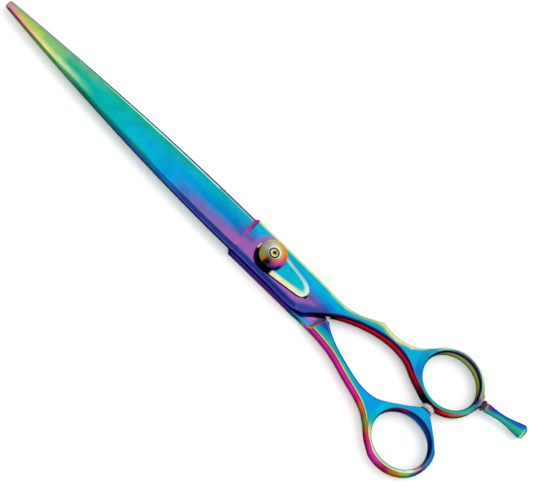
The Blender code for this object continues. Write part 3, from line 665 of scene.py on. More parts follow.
def leaf_mesh():
    """The teardrop plate with its wide sloping border, and the tongue that hooks into the finger half."""
    head = arc((0, -0.5 * MM), (LEAF_RADIUS, LEAF_RADIUS), 62, 278, FINE_STEP)
    tail = [head[-1]] + millimetres(
        (16.5, -4.1), (18.2, -3.5), (19.2, -2.2), (19.6, -0.6), (19.1, 0.7), (17.9, 1.9), (15.9, 2.8)
    )
    tail.append(head[0])
    outline = head[:-1] + spline(tail[:2]) + spline(tail[1:8], FINE_STEP) + spline(tail[7:])
    loops = [outline, hole((0, 0), (LEAF_HOLE_RADIUS, LEAF_HOLE_RADIUS), FINE_STEP)]

    def rim(x, y):
        """Width and height of the sloping border: slight round the hole, wider below and at the tail."""
        if math.hypot(x, y) < 4 * MM:
            return 0.1 * MM, 0.1 * MM
        lower_side = 0.5 * step_between(1 * MM, -1 * MM, y)
        tail_end = 0.8 * step_between(13 * MM, 19 * MM, x)
        return (1.4 + lower_side + tail_end) * MM, 0.5 * MM

    return sloped_plate("leaf_plate", loops, rim)


def sloped_plate(name, loops, rim):
    """The leaf: its outer face slopes down, by LEAF_SECTION's shares of inset and drop, to a thinner wall."""
    bm = bmesh.new()

    def rows_round(loop):
        rows = [[] for _ in range(len(LEAF_SECTION) + 1)]
        for point, normal in zip(loop, inward_normals(loop)):
            width, height = rim(point.x, point.y)
            for row, (share, drop) in zip(rows, LEAF_SECTION):
                spot = point + normal * width * share
                row.append(bm.verts.new((spot.x, spot.y, LEAF_Z + LEAF_THICKNESS - height * drop)))
            rows[-1].append(bm.verts.new((point.x, point.y, LEAF_Z)))
        return rows

    tops, bottoms, edges, flat_loops = walls(bm, loops, rows_round)
    cap(bm, tops, edges, flat_loops)
    cap(bm, bottoms, edges, [[tuple(p) for p in loop] for loop in loops])
    tongue = bmesh.ops.create_cube(bm, size=1.0)["verts"]
    bmesh.ops.scale(bm, vec=TONGUE_SIZE, verts=tongue)
    bmesh.ops.translate(bm, vec=TONGUE_CENTRE, verts=tongue)
    return mesh_of(name, bm)


def cap(bm, vertices, edges, loops):
    """Closes a flat face between loops of vertices."""
    plan = [v.co.xy for v in vertices]
    points, _, faces, sources, _, _ = geometry.delaunay_2d_cdt(plan, edges, [], 0, MERGE_DISTANCE)
    for face in faces_inside(points, faces, loops):
        corners = [vertices[sources[i][0]] for i in face]
        if len(set(corners)) == len(corners):
            bm.faces.new(corners)


def bumper_mesh():
    """The fluted stop, standing on the crown with a stud in it."""
    ring_centre, ring_radii = FINGER_RING
    top = ring_centre.y - ring_radii.y - CROWN_Y - FIT_GAP
    base, radius, stud, stud_end = FIT_GAP, BUMPER_RADIUS, 0.9 * MM, -2.2 * MM
    profile = [
        (0, top),
        (radius - 0.5 * MM, top),
        (radius - 0.15 * MM, top - 0.1 * MM),
        (radius, top - 0.4 * MM, fluted_shape),
        (radius, base + 0.4 * MM, fluted_shape),
        (radius - 0.15 * MM, base + 0.1 * MM),
        (radius - 0.5 * MM, base),
        (stud, base),
        (stud, stud_end),
        (0, stud_end),
    ]
    return turned_mesh("bumper_stop", profile, (BUMPER_X, CROWN_Y, MIDDLE_Z), (0, 1, 0))


def tang_point(distance):
    """A point on the tang's axis, at that distance from the finger ring's centre."""
    centre = FINGER_RING[0]
    return Vector((centre.x, centre.y, MIDDLE_Z)) + TANG_DIRECTION * distance


def tang_mesh():
    """The finger rest: a waist, then a flare to a domed end with a rounded rim."""
    shape = millimetres(
        (1.85, 0.5), (1.6, 3.2), (1.42, 6.1), (1.55, 9.0), (1.95, 11.8), (2.45, 14.3), (2.72, 15.9),
        (2.72, 16.6), (2.55, 17.1),
    )
    dome = millimetres((2.3, 17.35), (1.9, 17.63), (1.3, 17.8), (0.6, 17.88))
    profile = [(0, TANG_LENGTH)] + dome[::-1] + spline(shape, TANG_STEP)[::-1]
    stud, stud_end = 1.0 * MM, TANG_SEAT - 1.8 * MM - TANG_BASE
    profile += [(1.7 * MM, 0), (stud, 0), (stud, stud_end), (0, stud_end)]
    return turned_mesh("tang_body", profile, tang_point(TANG_BASE), TANG_DIRECTION)


def tang_washer_mesh():
    section = ((1.3, 1), (1.7, 1), (2.0, 0.88), (2.15, 0.65), (2.15, 0.35), (2.0, 0.12), (1.7, 0), (1.3, 0))
    profile = [(radius * MM, share * TANG_WASHER_LENGTH) for radius, share in section]
    return turned_mesh("tang_collar", profile, tang_point(TANG_SEAT + FIT_GAP), TANG_DIRECTION)


# Materials. Colours are plain sRGB codes, turned to linear light once. Places are in millimetres. Besides the
# coating's own hues, the ramps hold painted highlights, painted reflections and painted shade, each said
# where it is laid.

BLACK = "#050508"
INK = "#0a0a28"
NAVY = "#1c2c74"
DEEP_BLUE = "#30429c"
INDIGO = "#4a4aa8"
VIOLET = "#6c56a8"
ORCHID = "#a05eac"
PINK = "#d8709c"
ROSE = "#e09c9c"
MAGENTA = "#c42c8c"
CRIMSON = "#921c34"
MAROON = "#4a1028"
ORANGE = "#c8643a"
BROWN = "#8c6a38"
GOLD = "#d8ae3c"
OLIVE = "#9a9a5c"
CREAM = "#ece6b4"
PEACH = "#e2c48e"
LEMON = "#e0e088"
YELLOW = "#c4c048"
LIME = "#a8d24a"
PALE_LIME = "#b4e0a0"
GREEN = "#4aa860"
LEAF_GREEN = "#84c47a"
DARK_GREEN = "#107848"
SEA_GREEN = "#14ae8e"
TEAL = "#04b2ae"
DARK_TEAL = "#0a7c84"
CYAN = "#06b2d4"
AZURE = "#069ede"
BLUE = "#0c7ac4"
GREY = "#a09894"
MINT = "#d8f2ec"
WHITE = "#f4f8f8"


def linear(code):
    """Linear red, green, blue and alpha from an sRGB code."""
    parts = [int(code[i : i + 2], 16) / 255 for i in (1, 3, 5)]
    light = [c / 12.92 if c <= 0.04045 else ((c + 0.055) / 1.055) ** 2.4 for c in parts]
    return (*light, 1.0)


def with_other(operation):
    """A method of Value: a node that joins the value with another value or number."""
    return lambda value, other: value.paint.math(operation, value, other)


class Value:
    """A number that varies over the surface: a node's output, with arithmetic."""

    __add__ = with_other("ADD")
    __sub__ = with_other("SUBTRACT")
    __mul__ = with_other("MULTIPLY")
    __truediv__ = with_other("DIVIDE")
    __pow__ = with_other("POWER")
    at_least = with_other("MAXIMUM")
    at_most = with_other("MINIMUM")

    def __init__(self, paint, socket):
        self.paint = paint
        self.socket = socket

    def __rsub__(self, other):
        return self.paint.math("SUBTRACT", other, self)

    def map_range(self, low, high):
        node = self.paint.tree.nodes.new("ShaderNodeMapRange")
        self.paint.put(node.inputs["Value"], self)
        node.inputs["From Min"].default_value = low
        node.inputs["From Max"].default_value = high
        return node

    def rise(self, low, high):
        """0 at low, 1 at high, smooth between them."""
        node = self.map_range(low, high)
        node.interpolation_type = "SMOOTHSTEP"
        return Value(self.paint, node.outputs[0])

    def band(self, low, high, soft):
        """1 between low and high, 0 outside, with soft edges."""
        return self.rise(low - soft, low) * self.rise(high + soft, high)

    def ramp(self, *stops):
        """Colours at values, in the value's own unit."""
        low, high = stops[0][0], stops[-1][0]
        mapped = self.map_range(low, high)
        colours = self.paint.tree.nodes.new("ShaderNodeValToRGB")
        colours.color_ramp.interpolation = "EASE"
        elements = colours.color_ramp.elements
        while len(elements) < len(stops):
            elements.new(0.5)
        for element, (at, code) in zip(elements, stops):
            element.position = (at - low) / (high - low)
            element.color = linear(code)
        self.paint.put(colours.inputs[0], mapped.outputs[0])
        return colours.outputs[0]


class Paint:
    """A material under construction. Its methods add nodes and return what they make."""

    def __init__(self, name):
        self.material = bpy.data.materials.new(name)
        self.material.use_nodes = True
        self.tree = self.material.node_tree
        self.tree.nodes.clear()
        coordinates = self.tree.nodes.new("ShaderNodeTexCoord")
        scaled = self.tree.nodes.new("ShaderNodeVectorMath")
        scaled.operation = "SCALE"
        self.put(scaled.inputs[0], coordinates.outputs["Object"])
        scaled.inputs["Scale"].default_value = 1 / MM
        self.place = scaled.outputs[0]
        self.x, self.y, self.z = self.split(self.place)
        self.nx, self.ny, self.nz = self.split(coordinates.outputs["Normal"])

    def put(self, socket, value):
        if isinstance(value, Value):
            value = value.socket
        if isinstance(value, bpy.types.NodeSocket):
            self.tree.links.new(value, socket)
        else:
            socket.default_value = linear(value) if isinstance(value, str) else value

    def split(self, vector):
        node = self.tree.nodes.new("ShaderNodeSeparateXYZ")
        self.put(node.inputs[0], vector)
        return [Value(self, output) for output in node.outputs]

    def math(self, operation, *values):
        node = self.tree.nodes.new("ShaderNodeMath")
        node.operation = operation
        for socket, value in zip(node.inputs, values):
            self.put(socket, value)
        return Value(self, node.outputs[0])

    def distance(self, dx, dy):
        return self.math("SQRT", dx * dx + dy * dy)

    def angle(self, dx, dy):
        """Degrees from the first axis, from -180 to 180."""
        return self.math("DEGREES", self.math("ARCTAN2", dy, dx))

    def mix(self, share, first, second, blend="MIX"):
        node = self.tree.nodes.new("ShaderNodeMix")
        node.data_type = "RGBA"
        node.blend_type = blend
        self.put(node.inputs[0], share)
        self.put(node.inputs[6], first)
        self.put(node.inputs[7], second)
        return node.outputs[2]

    def layers(self, colour, *covers):
        """A colour under covers: pairs of a share and a colour, each laid over the ones before it."""
        for share, cover in covers:
            colour = self.mix(share, colour, cover)
        return colour

    def noise(self, scale, stretch=(1, 1, 1), detail=3.0):
        """Noise with that many grains per millimetre, stretched along the axes."""
        mapping = self.tree.nodes.new("ShaderNodeMapping")
        self.put(mapping.inputs["Vector"], self.place)
        mapping.inputs["Scale"].default_value = [scale / s for s in stretch]
        node = self.tree.nodes.new("ShaderNodeTexNoise")
        self.put(node.inputs["Vector"], mapping.outputs[0])
        node.inputs["Scale"].default_value = 1.0
        node.inputs["Detail"].default_value = detail
        return Value(self, node.outputs[0])

    def shader(self, colour, metallic, roughness, bump=None, strength=0.1, **settings):
        shader = self.tree.nodes.new("ShaderNodeBsdfPrincipled")
        self.put(shader.inputs["Base Color"], colour)
        self.put(shader.inputs["Metallic"], metallic)
        self.put(shader.inputs["Roughness"], roughness)
        for name, value in settings.items():
            shader.inputs[name.replace("_", " ")].default_value = value
        if bump:
            relief = self.tree.nodes.new("ShaderNodeBump")
            relief.inputs["Strength"].default_value = strength
            relief.inputs["Distance"].default_value = BUMP_DEPTH
            self.put(relief.inputs["Height"], bump)
            self.put(shader.inputs["Normal"], relief.outputs[0])
        output = self.tree.nodes.new("ShaderNodeOutputMaterial")
        self.tree.links.new(shader.outputs[0], output.inputs[0])
        return self.material


def coated(paint, colour, smooth=0.1, rough=0.24, dull=None):
    """Mirror steel under a thin coating: slightly uneven colour and gloss, fine polish lines, edge wear."""
    uneven = paint.noise(0.25).ramp((0.3, "#dcdcdc"), (0.7, "#ffffff"))
    colour = paint.mix(0.5, colour, uneven, "MULTIPLY")
    worn = paint.noise(1.2, (4, 1, 1)).rise(0.66, 0.8) * 0.35
    colour = paint.mix(worn, colour, GREY)
    lines = paint.noise(3.0, (30, 1, 1), 2.0)
    gloss = lines * (rough - smooth) + smooth
    metal = dull * -0.8 + 1.0 if dull else 1.0
    # The grey tint keeps the coating's colour at grazing angles.
    tint = linear("#808080")
    return paint.shader(colour, metal, gloss, bump=lines, strength=0.03, Specular_Tint=tint)


def blade_places(paint, half, side):
    """How far across the blade a point lies (0 at the spine, 1 at the edge), and across its slanted band."""
    share = (TAPER_START_X / MM - paint.x) / ((TAPER_START_X - TIP_X) / MM)
    share = share.at_least(0.0).at_most(1.0)
    shift = share**SHIFT_POWER * (half.lean * TIP_SHIFT / MM)
    spine = share**TAPER_POWER * (-BLADE_TAPER / MM) + shift + BLADE_WIDTH / MM
    edge = spine - (shift * 2.0 + BLADE_OVERLAP / MM)
    from_spine = paint.y * side + spine
    slope = (SPINE_BEVEL_PIVOT - SPINE_BEVEL_TIP) / (CHOIL_X - TIP_X)
    band_width = paint.x * slope + (SPINE_BEVEL_TIP - slope * TIP_X) / MM
    return from_spine / (edge + spine), from_spine / band_width


def blade_face(paint, across):
    """The rainbow along a blade's face, in three strips that melt into each other."""
    x = paint.x + (paint.noise(0.08) * (2 * WAVER) - WAVER)
    by_spine = x.ramp(
        (-134, PINK), (-127, ROSE), (-120, PEACH), (-113, LEMON), (-103, PALE_LIME), (-94, "#5cc8a0"),
        (-87, TEAL), (-62, CYAN), (-47, AZURE), (-40, "#3c78c0"), (-30, "#7068b4"), (-12, "#a862ac"),
    )
    middle = x.ramp(
        (-134, "#c8929a"), (-128, YELLOW), (-120, LIME), (-110, LEAF_GREEN), (-102, SEA_GREEN), (-84, TEAL),
        (-58, "#08a8d0"), (-40, AZURE), (-28, "#028ccc"), (-18, BLUE), (-12, INDIGO),
    )
    by_edge = x.ramp(
        (-134, GREY), (-126, "#a8b070"), (-114, "#90b87c"), (-98, "#60b488"), (-80, SEA_GREEN),
        (-55, "#14aa9c"), (-30, "#0caebc"), (-16, "#0cb0cc"), (-12, VIOLET),
    )
    return paint.layers(by_spine, (across.rise(0.2, 0.48), middle), (across.rise(0.5, 0.88), by_edge))


def blade_sides(paint, colour, nq, across, in_band):
    """The slanted band and wall along the spine, and the hone bevel and wall along the cutting edge. On the
    band, a darker outer part and ink lines are painted dark reflections; near the edge a bright line is a
    painted highlight.
    """
    x = paint.x
    band = x.ramp(
        (-134, "#781c62"), (-128, CRIMSON), (-122, BROWN), (-112, "#6a9a4c"), (-102, GREEN),
        (-92, DARK_GREEN), (-78, DARK_TEAL), (-60, "#1a78a8"), (-48, BLUE), (-38, DEEP_BLUE),
        (-10, DEEP_BLUE), (10, "#2c3490"), (24, "#2c3c98"),
    )
    wall = x.ramp(
        (-134, "#3a1040"), (-122, "#5a3420"), (-110, "#1c5028"), (-90, "#0a4a50"), (-62, "#0e3468"),
        (-40, "#1c2870"), (24, "#181c54"),
    )
    # Painted dark reflections: the wall's colour laid over the band's outer part, and two ink lines along the
    # band.
    outer_part = in_band.rise(0.75, 0.15) * x.rise(-36, -52) * 0.8
    inner_dark_reflection = in_band.band(0.93, 1.0, 0.12) * x.rise(-88, -60) * 0.85
    middle_dark_reflection = in_band.band(0.5, 0.56, 0.12) * x.rise(-60, -30) * 0.6
    band = paint.layers(band, (outer_part, wall), (inner_dark_reflection, INK), (middle_dark_reflection, INK))
    far = x.ramp(
        (-134, "#8c8088"), (-104, "#7c9084"), (-90, "#4c7c6c"), (-64, "#285c60"), (-50, "#1c5c68"),
        (-12, "#1c4c74"),
    )
    on_blade = x.rise(-11.5, -12.5)
    green_strip = in_band.band(1.05, 1.5, 0.4) * x.band(-98, -62, 12) * 0.9
    # Painted highlight: a bright line near the cutting edge.
    painted_highlight_line = across.band(0.908, 0.93, 0.014) * x.rise(-104, -70) * on_blade * 0.92
    return paint.layers(
        colour,
        (green_strip, "#06a078"),
        (painted_highlight_line, "#e4fcff"),
        (nq.rise(-0.3, -0.5), band),
        (nq.rise(-0.75, -0.92), wall),
        (nq.rise(0.3, 0.5) * on_blade, paint.mix(across.rise(0.94, 0.952), "#8cc8cc", far)),
        (nq.rise(0.78, 0.92), far),
        (paint.nx.rise(-0.4, -0.8) * x.rise(-132, -133), "#2a1448"),
    )


def ring_places(paint, ring):
    """Where in a finger ring a point lies (1 on its outer edge), its angle, and how far it faces outwards."""
    centre, radii = ring
    dx, dy = paint.x - centre.x / MM, paint.y - centre.y / MM
    distance = paint.distance(dx, dy)
    facing = (dx * paint.nx + dy * paint.ny) / distance
    return distance / ((radii.x + radii.y) / 2 / MM), paint.angle(dx, dy), facing


def finger_pad(paint, blade):
    """Round the pivot: violet to teal across, an orchid painted reflection of the dial beside it, a black
    spot of painted shade at the leaf's tail where its tongue goes into the slot, and a cream upper edge that
    is a painted highlight.
    """
    x, y, ny = paint.x, paint.y, paint.ny
    across = y.ramp(
        (-8.6, DEEP_BLUE), (-6.8, VIOLET), (-5.3, ORCHID), (-2.5, "#9260ac"), (-0.5, VIOLET),
        (1.5, "#2a80c8"), (3.4, AZURE), (5.4, CYAN), (7.0, TEAL),
    )
    # Painted reflection of the dial: orchid round it, on its side towards -x.
    dial_reflection = paint.distance(x, y).rise(9.0, 7.0) * x.rise(2, -3) * 0.8
    fold = (y - (x * 0.62 - 18.1)).rise(2.2, -0.4) * x.rise(13, 19)
    # Painted shade: black where the leaf's tongue goes into its slot.
    notch = x.band(18.9, 19.9, 0.4) * y.band(-2.5, -1.2, 0.5) * paint.nz.rise(0.2, 0.5)
    # Painted highlight: cream along the upper edge and on faces turned towards +y.
    edge = y.rise(6.5, 7.3) * ny.rise(-0.5, -0.2) * 0.9
    return paint.layers(
        across,
        (dial_reflection, ORCHID),
        (fold, "#3448a0"),
        (notch, BLACK),
        (ny.rise(-0.3, -0.5) * x.rise(24, 20), blade),
        (edge.at_least(ny.rise(0.18, 0.4)), CREAM),
    )


def finger_shank(paint):
    """Crimson below, blue and cream above. The cream along the upper rim and edge is a painted highlight, and
    the near-black strip on the lower slope a painted dark reflection. The flat top's strips follow the
    shank's upper edge.
    """
    x, y, ny = paint.x, paint.y, paint.ny
    by_slope = ny.ramp(
        (-1, "#a42438"), (-0.85, "#9c2038"), (-0.76, MAROON), (-0.68, "#160618"), (-0.56, INK),
        (-0.44, NAVY), (-0.24, DEEP_BLUE), (-0.1, BLUE), (0, AZURE), (0.1, CYAN), (0.2, SEA_GREEN),
        (0.32, PALE_LIME), (0.42, CREAM), (0.72, CREAM), (0.84, BROWN), (1, GREEN),
    )
    upper_edge = x.rise(32, 49) * 6.4 + x.rise(48, 52) * -0.6 + x.rise(55, 61) * 1.6 + 7.8
    upper_edge = (x - 61.2).at_least(0.0) * 0.93 + upper_edge
    below = upper_edge - y
    wide = below.ramp(
        (0.4, CREAM), (1.0, "#c8dca0"), (1.7, TEAL), (3.6, AZURE), (5.6, BLUE), (7.6, DEEP_BLUE)
    )
    narrow = below.ramp(
        (0.8, CREAM), (1.5, "#d8e0a0"), (2.2, LEAF_GREEN), (2.9, SEA_GREEN), (3.8, AZURE), (4.6, BLUE),
        (5.4, NAVY),
    )
    by_ring = x.ramp((56, "#0a9cb4"), (63, CYAN), (67, AZURE), (72, BLUE))
    top = paint.layers(wide, (x.rise(33, 46), narrow), (x.rise(55, 61) * below.rise(1.1, 2.2), by_ring))
    flat = ny.band(-0.1, 0.1, 0.15).at_least(ny.band(-0.1, 0.6, 0.15) * x.rise(72, 69))
    shade = ny.rise(-0.25, -0.45) * x.band(20, 31, 2)
    return paint.layers(by_slope, (flat * 0.95, top), (shade, BLACK))


def finger_ring(paint, colour):
    share, angle, facing = ring_places(paint, FINGER_RING)
    top = angle.ramp(
        (-180, "#0896bc"), (-150, BLUE), (-115, "#10a098"), (-60, SEA_GREEN), (-20, TEAL), (0, "#3a6a98"),
        (15, VIOLET), (35, "#30385c"), (70, "#2c4464"), (110, "#3c6c90"), (150, "#3c9cb4"), (180, "#0896bc"),
    )
    # On the outer wall, the ink below the bumper is a painted shadow and dark reflection of the bumper, and
    # the rose by the tang seat a painted highlight.
    outside = angle.ramp(
        (-180, "#981c38"), (-130, "#8c1c38"), (-117, MAROON), (-109, INK), (-101, INK), (-92, MAROON),
        (-84, CRIMSON), (-60, "#a0343c"), (-42, "#9c6c50"), (-22, "#6c9c88"), (-5, "#3a7a90"), (8, ROSE),
        (25, "#7ca860"), (45, PALE_LIME), (80, CREAM), (130, CREAM), (165, TEAL), (180, BLUE),
    )
    # The inner wall is black at its foot: painted shade next to the floor.
    inside_wall = paint.z.ramp(
        (0.6, BLACK), (1.1, DARK_TEAL), (1.9, "#3c9c5c"), (3.0, "#84b44c"), (4.0, "#a4a44c"),
        (4.4, "#b07a40"), (4.8, "#3a2450"), (5.2, INK), (6.0, NAVY),
    )
    rim = share.rise(0.885, 0.92) * angle.band(20, 150, 12)
    # Painted shade: black on the ring beside the tang seat.
    seat = angle.band(1, 15, 5) * share.rise(0.97, 0.91) * 0.85
    ring = paint.layers(
        top,
        (seat, BLACK),
        (facing.rise(0.05, 0.3).at_least(rim), outside),
        (facing.rise(-0.25, -0.55), inside_wall),
    )
    return paint.mix(share.rise(1.16, 1.03), colour, ring)


def finger_paint():
    paint = Paint("rainbow_steel_finger_half")
    x, y = paint.x, paint.y
    across, in_band = blade_places(paint, FINGER, 1)
    blade = blade_sides(paint, blade_face(paint, across), paint.ny, across, in_band)
    choil_slope = x.band(-13.3, -11.9, 0.2) * paint.nx.rise(-0.08, -0.3)
    colour = paint.layers(
        blade,
        (x.rise(*CHOIL_BLEND), finger_pad(paint, blade)),
        (choil_slope, y.ramp((-3, ORCHID), (1, "#b04aa0"), (6, "#a03a90"))),
        # Painted shade: an ink line along the top of the choil step.
        (x.band(-11.85, -11.65, 0.12) * y.rise(0, 4), INK),
        (x.rise(23, 29), finger_shank(paint)),
    )
    return coated(paint, finger_ring(paint, colour))


def thumb_pad(paint, blade):
    """The thumb half as far as its shank: a faint inner face, with a bright patch that shows by the bow. The
    patch is painted light, brightened against the shade between the halves.
    """
    x, y, ny = paint.x, paint.y, paint.ny
    ride = x.ramp(
        (-134, "#a8949a"), (-104, "#8c9490"), (-92, "#3c7a6c"), (-60, "#1c6e80"), (-20, "#2a4a90"),
        (14, INDIGO), (19, GREEN), (22, SEA_GREEN), (24, CYAN), (28, CYAN),
    )
    patch = y.ramp((-9, CYAN), (-7.6, AZURE), (-6.8, "#5a7ac8"), (-5.6, "#b070c0"), (-3.4, "#f08cc8"))
    pad = y.ramp(
        (-8.2, TEAL), (-6, CYAN), (-3, AZURE), (0, BLUE), (3, VIOLET), (5.5, ORCHID), (8.4, DEEP_BLUE)
    )
    on_pad = x.rise(*CHOIL_BLEND)
    upper_wall = ny.rise(-0.2, -0.4) * on_pad * paint.z.rise(1.5, 2.4) * x.rise(24, 18)
    return paint.layers(
        blade,
        (paint.nz.rise(0.85, 0.97) * x.rise(30, 29), paint.mix(x.rise(21.5, 23.5), ride, patch)),
        (upper_wall, "#3a2c84"),
        (on_pad * paint.nz.rise(-0.6, -0.9), pad),
    )


def thumb_shank(paint, low_wall):
    """Magenta below, then strips of cream, green and blue: the pale lime and cream strip along the lower rim
    is a painted highlight, with a painted dark line of ink below it. The flat top's strips follow the lower
    edge.
    """
    x, ny = paint.x, paint.ny
    by_slope = ny.ramp(
        (-0.66, MAROON), (-0.58, INK), (-0.5, "#d4e4a8"), (-0.36, PALE_LIME), (-0.24, GREEN),
        (-0.12, SEA_GREEN), (0, CYAN), (0.2, AZURE), (0.45, BLUE), (0.75, DEEP_BLUE), (1, NAVY),
    )
    above = (x - 37.0).at_least(0.0) * 0.31 + 9.5 + paint.y
    top = above.ramp((0.5, PALE_LIME), (1.1, GREEN), (2.2, TEAL), (3.5, "#1c80c0"), (4.7, DEEP_BLUE))
    top = paint.mix(x.rise(46, 60), top, AZURE)
    return paint.layers(by_slope, (ny.rise(-0.6, -0.72), low_wall), (ny.band(-0.2, 0.12, 0.12), top))


def thumb_ring(paint, colour):
    share, angle, facing = ring_places(paint, THUMB_RING)
    # On the top, the lemon and cream on the lower side and the mint and rose at the right are painted
    # highlights.
    top = angle.ramp(
        (-180, CYAN), (-168, TEAL), (-154, SEA_GREEN), (-140, LEMON), (-120, CREAM), (-70, CREAM),
        (-48, PALE_LIME), (-36, MINT), (-24, ROSE), (-8, "#4c5494"), (8, "#2470b0"), (34, "#1470c4"),
        (56, "#0a84d0"), (90, AZURE), (180, CYAN),
    )
    # Across the lower side: a painted dark line of ink at the inner edge, then cream as a painted highlight.
    low_top = share.ramp(
        (0.82, INK), (0.845, DARK_TEAL), (0.87, SEA_GREEN), (0.895, PALE_LIME), (0.93, CREAM),
        (0.99, CREAM), (1.01, LEAF_GREEN), (1.03, CYAN),
    )
    outside = angle.ramp(
        (-180, "#7c9444"), (-162, "#84903c"), (-152, "#a86c38"), (-142, "#b83c50"), (-132, "#b82c70"),
        (-122, MAGENTA), (-98, "#b83892"), (-80, "#98284c"), (-60, "#b07030"), (-42, "#74ae60"),
        (-30, DARK_TEAL), (-18, "#34345a"), (0, BLUE), (90, AZURE), (172, CYAN), (180, SEA_GREEN),
    )
    inside_wall = paint.z.ramp(
        (0, "#0a3040"), (0.9, DARK_TEAL), (1.8, "#12a084"), (2.6, BLUE), (3.4, DEEP_BLUE),
        (4.4, "#2c3488"), (5.0, INK), (5.6, DARK_TEAL),
    )
    ends = angle.rise(108, 118).at_least(angle.rise(0, -14))
    inside_wall = paint.mix(ends * paint.z.rise(1.6, 2.4) * 0.6, inside_wall, "#8c1c30")
    low_side = angle.rise(-38, -54) * angle.rise(-166, -144)
    ring = paint.layers(
        top,
        (low_side * 0.85, low_top),
        (facing.rise(0.12, 0.35), outside),
        (facing.rise(-0.4, -0.65), inside_wall),
    )
    return paint.mix(share.rise(1.14, 1.02), colour, ring)


def thumb_paint():
    paint = Paint("rainbow_steel_thumb_half")
    x, y, ny = paint.x, paint.y, paint.ny
    across, in_band = blade_places(paint, THUMB, -1)
    blade = blade_sides(paint, blade_face(paint, across), ny * -1.0, across, in_band)
    low_wall = x.ramp(
        (-12, "#52308a"), (4, "#9a2c84"), (16.5, "#b03488"), (18.5, DARK_GREEN), (25, SEA_GREEN),
        (27, "#b03488"), (40, MAGENTA), (56, "#cc2c90"), (59, "#c42850"), (62, ORANGE), (65, BROWN),
        (67, "#7c9444"),
    )
    low = ny.rise(-0.7, -0.85) * x.rise(*CHOIL_BLEND) * paint.z.rise(1.7, 1.1).at_least(x.rise(23, 27))
    facet = paint.nx.rise(-0.3, -0.6) * x.band(26.5, 32, 0.5) * paint.nz.rise(0.1, 0.3)
    colour = paint.layers(
        thumb_pad(paint, blade),
        (x.rise(26, 29.5), thumb_shank(paint, low_wall)),
        (low, low_wall),
        (facet, y.ramp((-9, OLIVE), (-7, "#b85a30"), (-4, ORANGE), (-2, CRIMSON))),
    )
    return coated(paint, thumb_ring(paint, colour), dull=facet)


def dial_paint():
    paint = Paint("rainbow_steel_dial")
    angle = paint.angle(paint.x, paint.y)
    radius = paint.distance(paint.x, paint.y)
    dome = angle.ramp(
        (-180, "#a0a080"), (-155, "#8c8c58"), (-132, "#98843c"), (-112, "#a06c2c"), (-98, "#1c1208"),
        (-80, "#140c10"), (-62, "#982c5c"), (-42, "#b83c94"), (-20, "#cc4098"), (0, "#d84880"),
        (22, "#dc6854"), (45, "#e49c38"), (90, "#e4c450"), (135, "#ccc490"), (180, "#a0a080"),
    )
    sheen = angle.ramp(
        (-180, "#a4acb4"), (-135, "#788468"), (-90, "#6c4c24"), (-45, "#cc6450"), (0, "#e48c44"),
        (45, "#e4b03c"), (90, "#dcc470"), (135, "#c8c8a8"), (180, "#a4acb4"),
    )
    wall = angle.ramp(
        (-180, ROSE), (-172, CREAM), (-164, BLACK), (-70, BLACK), (-40, "#141030"), (-10, NAVY),
        (60, BROWN), (120, "#8c8c58"), (160, "#a89878"), (180, ROSE),
    )
    # Painted light: the dark browns of the dome and the black of the wall on the side towards -y, and the
    # dark blue band near the rim, are painted shade and dark reflections; the rose and cream on the wall's
    # far side, the sheen in the middle and the white ring round the mouth are painted highlights; the ink
    # inside the mouth is painted shade.
    colour = paint.layers(
        dome,
        (radius.rise(4.4, 3.0), sheen),
        (radius.rise(4.5, 5.2) * angle.band(-72, -28, 15), "#2c2c80"),
        (paint.nz.rise(0.45, 0.2), wall),
        (radius.rise(2.6, 2.5) * radius.rise(2.0, 2.1), WHITE),
        (radius.rise(2.1, 2.0), INK),
    )
    return coated(paint, colour, 0.08, 0.2)


def lock_screw_paint():
    paint = Paint("rainbow_steel_lock_screw")
    radius = paint.distance(paint.x, paint.y)
    turn = paint.x + paint.y
    colour = turn.ramp((-1.8, "#c8d0a8"), (-0.4, "#d8d8a0"), (0.6, GOLD), (1.8, "#b88a30"))
    # Painted shade: dark brown inside the socket.
    colour = paint.layers(colour, (radius.rise(1.3, 1.5), CREAM), (radius.rise(0.85, 0.6), "#3a2c18"))
    return coated(paint, colour, 0.1, 0.22)


def leaf_paint():
    paint = Paint("rainbow_steel_leaf")
    x, y, ny = paint.x, paint.y, paint.ny
    flat = x.ramp((-6, AZURE), (6, "#06b0d0"), (13, "#08b4c4"), (17, "#20b8c0"))
    border = ny.ramp((-0.32, CREAM), (-0.1, "#dcecd4"), (0.12, MINT), (0.3, "#a8dce0"))
    # Painted light: the cream and mint of the sloping border and the cream and pink at the head's side
    # towards -x are painted reflections; the black on the head towards -y is a painted dark reflection of the
    # dial; the walls are painted black where they face -y and cream where they face +y, as painted shade and
    # highlight.
    colour = paint.layers(
        flat,
        (paint.nz.rise(0.996, 0.978), border),
        (x.rise(-3.4, -4.4), y.ramp((-0.8, CREAM), (0.8, CREAM), (1.8, PINK), (3.5, ORCHID))),
        (x.rise(4.5, 3.5) * y.rise(-0.6, -1.6), BLACK),
        (paint.nz.rise(0.7, 0.4), ny.ramp((-1, BLACK), (-0.2, INK), (0.4, DARK_TEAL), (1, CREAM))),
    )
    return coated(paint, colour, 0.1, 0.22)


